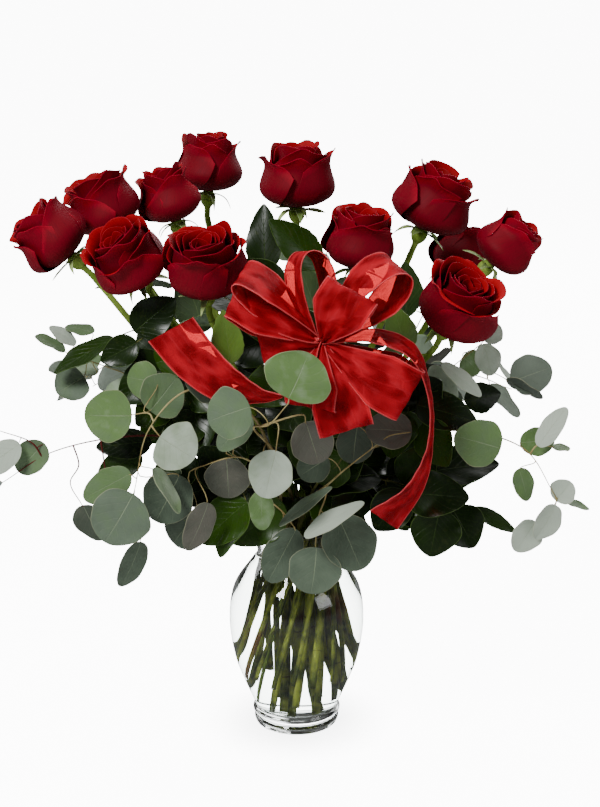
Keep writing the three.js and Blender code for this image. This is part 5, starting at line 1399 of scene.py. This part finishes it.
def ribbon_grid(line, widths, sideways, gather, seed):
    """The ribbon's sheet: straight across its middle line, with pleats that run along it and flatten
    out as it leaves the knot, and slow creases all over."""
    w = RIBBON_ACROSS[None, :]
    sideways = unit(sideways)
    way = unit(np.gradient(line, axis=0))
    normal = unit(np.cross(way, sideways))
    far = lengths(line)[:, None] / 10
    pleat = 1.5 * gather**1.5 * np.sin(2 * np.pi * 2.5 * w + seed)
    crease = 0.55 * np.sin(5 * w + far * 2.1 + seed) * np.sin(far * 1.3 + 2 * seed)
    crease = crease + 0.35 * np.sin(17 * w - far * 3.7 + 3 * seed)
    rise = (pleat + crease) * (1 - (2 * np.abs(w)) ** 6 * 0.6)
    grid = line[:, None] + sideways[:, None] * (w * widths)[..., None]
    grid = grid + normal[:, None] * rise[..., None]
    return grid, np.stack([far + 0 * w, w * widths.max() / 10 + 0 * far], -1)


paint = Paint("sheer_organza")
pair, far, over = paint.uv()
crinkle_and_sheen = paint.noise(paint.stretched(pair, (0.25, 1.0, 1.0)), 1.6, 2.0)
crumple = paint.noise(paint.stretched(pair, (0.6, 0.9, 1.0)), 0.7, 1.0)
cells = {"Vector": paint.stretched(pair, (0.3, 1.0, 1.0)), "Scale": 0.7}
creases = paint.node("ShaderNodeTexVoronoi", {"feature": "DISTANCE_TO_EDGE"}, cells)[0]
folds_and_highlight = 1 - paint.mask(creases, 0.0, 0.035)
warp = abs((over * 26.0).turns() - 0.5)
weft = abs((far * 26.0).turns() - 0.5)
weave = paint.mask(warp, 0.1, 0.4) * 0.5 + paint.mask(weft, 0.1, 0.4) * 0.5
selvage = paint.mask(abs(over), 2.0, 2.1)
red = paint.mix(paint.mask(crumple, 0.3, 0.7), (0.4, 0.005, 0.013), (0.68, 0.012, 0.026))
# Paler streaks along the crinkles: a painted sheen where they catch the light.
red = paint.mix(paint.mask(crinkle_and_sheen, 0.5, 0.72) * 0.3, red, (0.85, 0.05, 0.07))
# Paler lines along the creases: painted highlights where the folds catch the light.
red = paint.mix(folds_and_highlight * 0.08, red, (0.8, 0.04, 0.06))
cloth = paint.surface(
    Base_Color=red,
    Roughness=0.42 + 0.2 * crinkle_and_sheen,
    Specular_IOR_Level=0.08,
    Sheen_Weight=0.03,
    Sheen_Roughness=0.3,
    Sheen_Tint=(1.0, 0.15, 0.18),
    Normal=paint.bump(crinkle_and_sheen + 0.6 * crumple + 0.1 * weave + 0.25 * folds_and_highlight, 0.5, 0.002),
)
thin = paint.node("ShaderNodeBsdfTransparent", {}, {0: (0.44, 0.1, 0.1)})[0]
solid = 0.24 + 0.12 * weave + 0.16 * paint.mask(crumple, 0.3, 0.7) + 0.05 * folds_and_highlight + 0.25 * selvage
organza = paint.finish(paint.node("ShaderNodeMixShader", {}, {0: solid, 1: thin, 2: cloth})[0])
paint = Paint("wired_edge")
_, far, _ = paint.uv()
stitch = paint.mask(abs((far * 7.0).turns() - 0.5), 0.1, 0.3)
edging = paint.finish(
    paint.surface(
        Base_Color=paint.mix(stitch, (0.3, 0.001, 0.003), (0.62, 0.03, 0.04)),
        Roughness=0.35 + 0.15 * stitch,
        Sheen_Weight=0.1,
        Normal=paint.bump(stitch, 0.5, 0.0005),
    )
)

strips = [loop_line(*loop) for loop in LOOPS]
for places, sides, widths in TAILS:
    t = np.linspace(0, 1, 90)
    spread = np.interp(t * (len(widths) - 1), np.arange(len(widths)), widths)[:, None]
    gather = np.clip(1 - 4 * t[:, None], 0, 1)
    strips.append((curve_through(places)(t), spread, curve_through(sides)(t), gather))
sheets, wires, flat_length = [], [], 0.0
for seed, strip in enumerate(strips):
    grid, uv = ribbon_grid(*strip, seed)
    sheets.append(part(grid, 0, uv))
    flat_length += lengths(strip[0])[-1]
    wires += [tube(grid[:, edge], 0.5, 6) for edge in (0, -1)]
ribbon = new_piece("organza_ribbon", sheets, [organza], solid=False)
settle(thicken(ribbon, 0.3, 0, finish=0), "organza", "ribbon_bow")
wire = new_piece("ribbon_wire", wires, [edging], solid=True)
settle(wire, "organza", "ribbon_bow")

# The binding: three narrow rounds, laid on a slant about the knot.
SLANT = np.array([[1, 0, 0.15], [0, 0.8, 0.6], [-0.15, -0.6, 0.8]])
turns = np.linspace(0, 2 * np.pi, 49)[:-1]
bands = []
for k in range(3):
    aside = np.sin(turns) * 2.2 + 2.6 * (k - 1)
    ring = np.stack([np.cos(turns) * (6.5 + 0.4 * k), aside, np.sin(turns) * 6.2], -1)
    bands.append(tube(KNOT + ring @ SLANT, 1.5, 8))
settle(new_piece("bow_knot", bands, [edging], solid=True), "organza")


# ---- The studio: a white room and floor that are lit by themselves, as a photographer's backdrop is, so
# they stay white while the bouquet has its own softer light: a large one from the upper left, a weaker
# one from the right, one above and two behind. The camera stands a little above, with a long lens.

BACKDROP = 11.0  # the brightness of the room and the floor as they are seen
AMBIENT, MIRRORED = 0.25, 0.1  # the room's light on the bouquet, and what gloss shows of the room


def seen_brightness(paint, seen, lights, mirrors):
    """A brightness for what looks at the backdrop itself or through glass, one for the light that the
    room gives and one for what a glossy surface shows of it."""
    ray = paint.node("ShaderNodeLightPath")
    camera, glossy, through, bounces = ray[0], ray[3], ray[6], ray[10] + ray[11]
    looks = camera.sum("MAXIMUM", camera, through) * (1 - bounces.sum("MINIMUM", bounces, 1.0))
    return looks * seen + (1 - looks) * (lights + glossy * (mirrors - lights))


FLOOR_SIZE = 60.0  # metres
paint = Paint("white_floor")
# A glossy surface shows the floor darker, so that it doesn't veil what stands behind the glass.
mirrored = paint.node("ShaderNodeLightPath")[3]
lit = paint.surface(
    Base_Color=paint.mix(mirrored, (0.86, 0.86, 0.86), (0.16, 0.16, 0.16)),
    Roughness=0.75,
    Specular_IOR_Level=0.1,
)
# A painted contact shadow: round the vase's foot the floor's glow falls to half.
away = paint.node("ShaderNodeVectorMath", {"operation": "LENGTH"}, {0: paint.place()})[1]
painted_shadow = 1 - 0.5 * (1 - paint.mask(away, 0.03, 0.1))
white = seen_brightness(paint, BACKDROP, 0, 0) * painted_shadow
glow = paint.node("ShaderNodeEmission", {}, {"Strength": white})[0]
floor_finish = paint.finish(paint.node("ShaderNodeAddShader", {}, {0: lit, 1: glow})[0])
corners = FLOOR_SIZE * 500 * np.array([[[-1, -1, 0], [1, -1, 0]], [[-1, 1, 0], [1, 1, 0]]], float)
studio_floor = new_piece("studio_floor", [part(corners - [0, 0, 0.2])], [floor_finish], solid=False)

world = bpy.data.worlds.new("white_room")
paint = Paint("white_room", world)
brightness = seen_brightness(paint, BACKDROP, AMBIENT, MIRRORED)
room = paint.node("ShaderNodeBackground", {}, {"Color": (1, 1, 1), "Strength": brightness})[0]
paint.node("ShaderNodeOutputWorld", {}, {0: room})
bpy.context.scene.world = world


def soft_light(name, place, aim, size, power):
    """A square area light that faces the place it is aimed at."""
    light = bpy.data.objects.new(name, bpy.data.lights.new(name, "AREA"))
    light.data.shape = "SQUARE"
    light.data.size = size
    light.data.energy = power
    light.location = place
    way = np.array(place, float) - np.array(aim, float)
    across = math.hypot(way[0], way[1])
    light.rotation_euler = (math.atan2(across, way[2]), 0, math.atan2(way[1], way[0]) + math.pi / 2)
    bpy.context.scene.collection.objects.link(light)


soft_light("key_light", (-1.0, -1.4, 1.9), (0, 0, 0.35), 0.6, 66)
soft_light("fill_light", (1.6, -1.2, 1.0), (0, 0, 0.35), 1.0, 9)
soft_light("top_light", (0.1, 0.4, 1.9), (0, 0, 0.4), 0.9, 16)
soft_light("back_light", (0.9, 1.9, 1.3), (0, 0, 0.35), 1.2, 34)
soft_light("far_side_light", (-1.7, 1.1, 0.9), (0, 0, 0.35), 1.0, 10)

CAMERA_DISTANCE, CAMERA_RISE = 1.8, math.radians(16.5)
LOOKS_AT = (0.0033, 0.0, 0.318)
camera = bpy.data.objects.new("camera", bpy.data.cameras.new("camera"))
camera.data.lens = 87.3
camera.data.sensor_width = 36
camera.location = (
    LOOKS_AT[0],
    -CAMERA_DISTANCE * math.cos(CAMERA_RISE),
    LOOKS_AT[2] + CAMERA_DISTANCE * math.sin(CAMERA_RISE),
)
camera.rotation_euler = (math.pi / 2 - CAMERA_RISE, 0, 0)
bpy.context.scene.collection.objects.link(camera)
bpy.context.scene.camera = camera
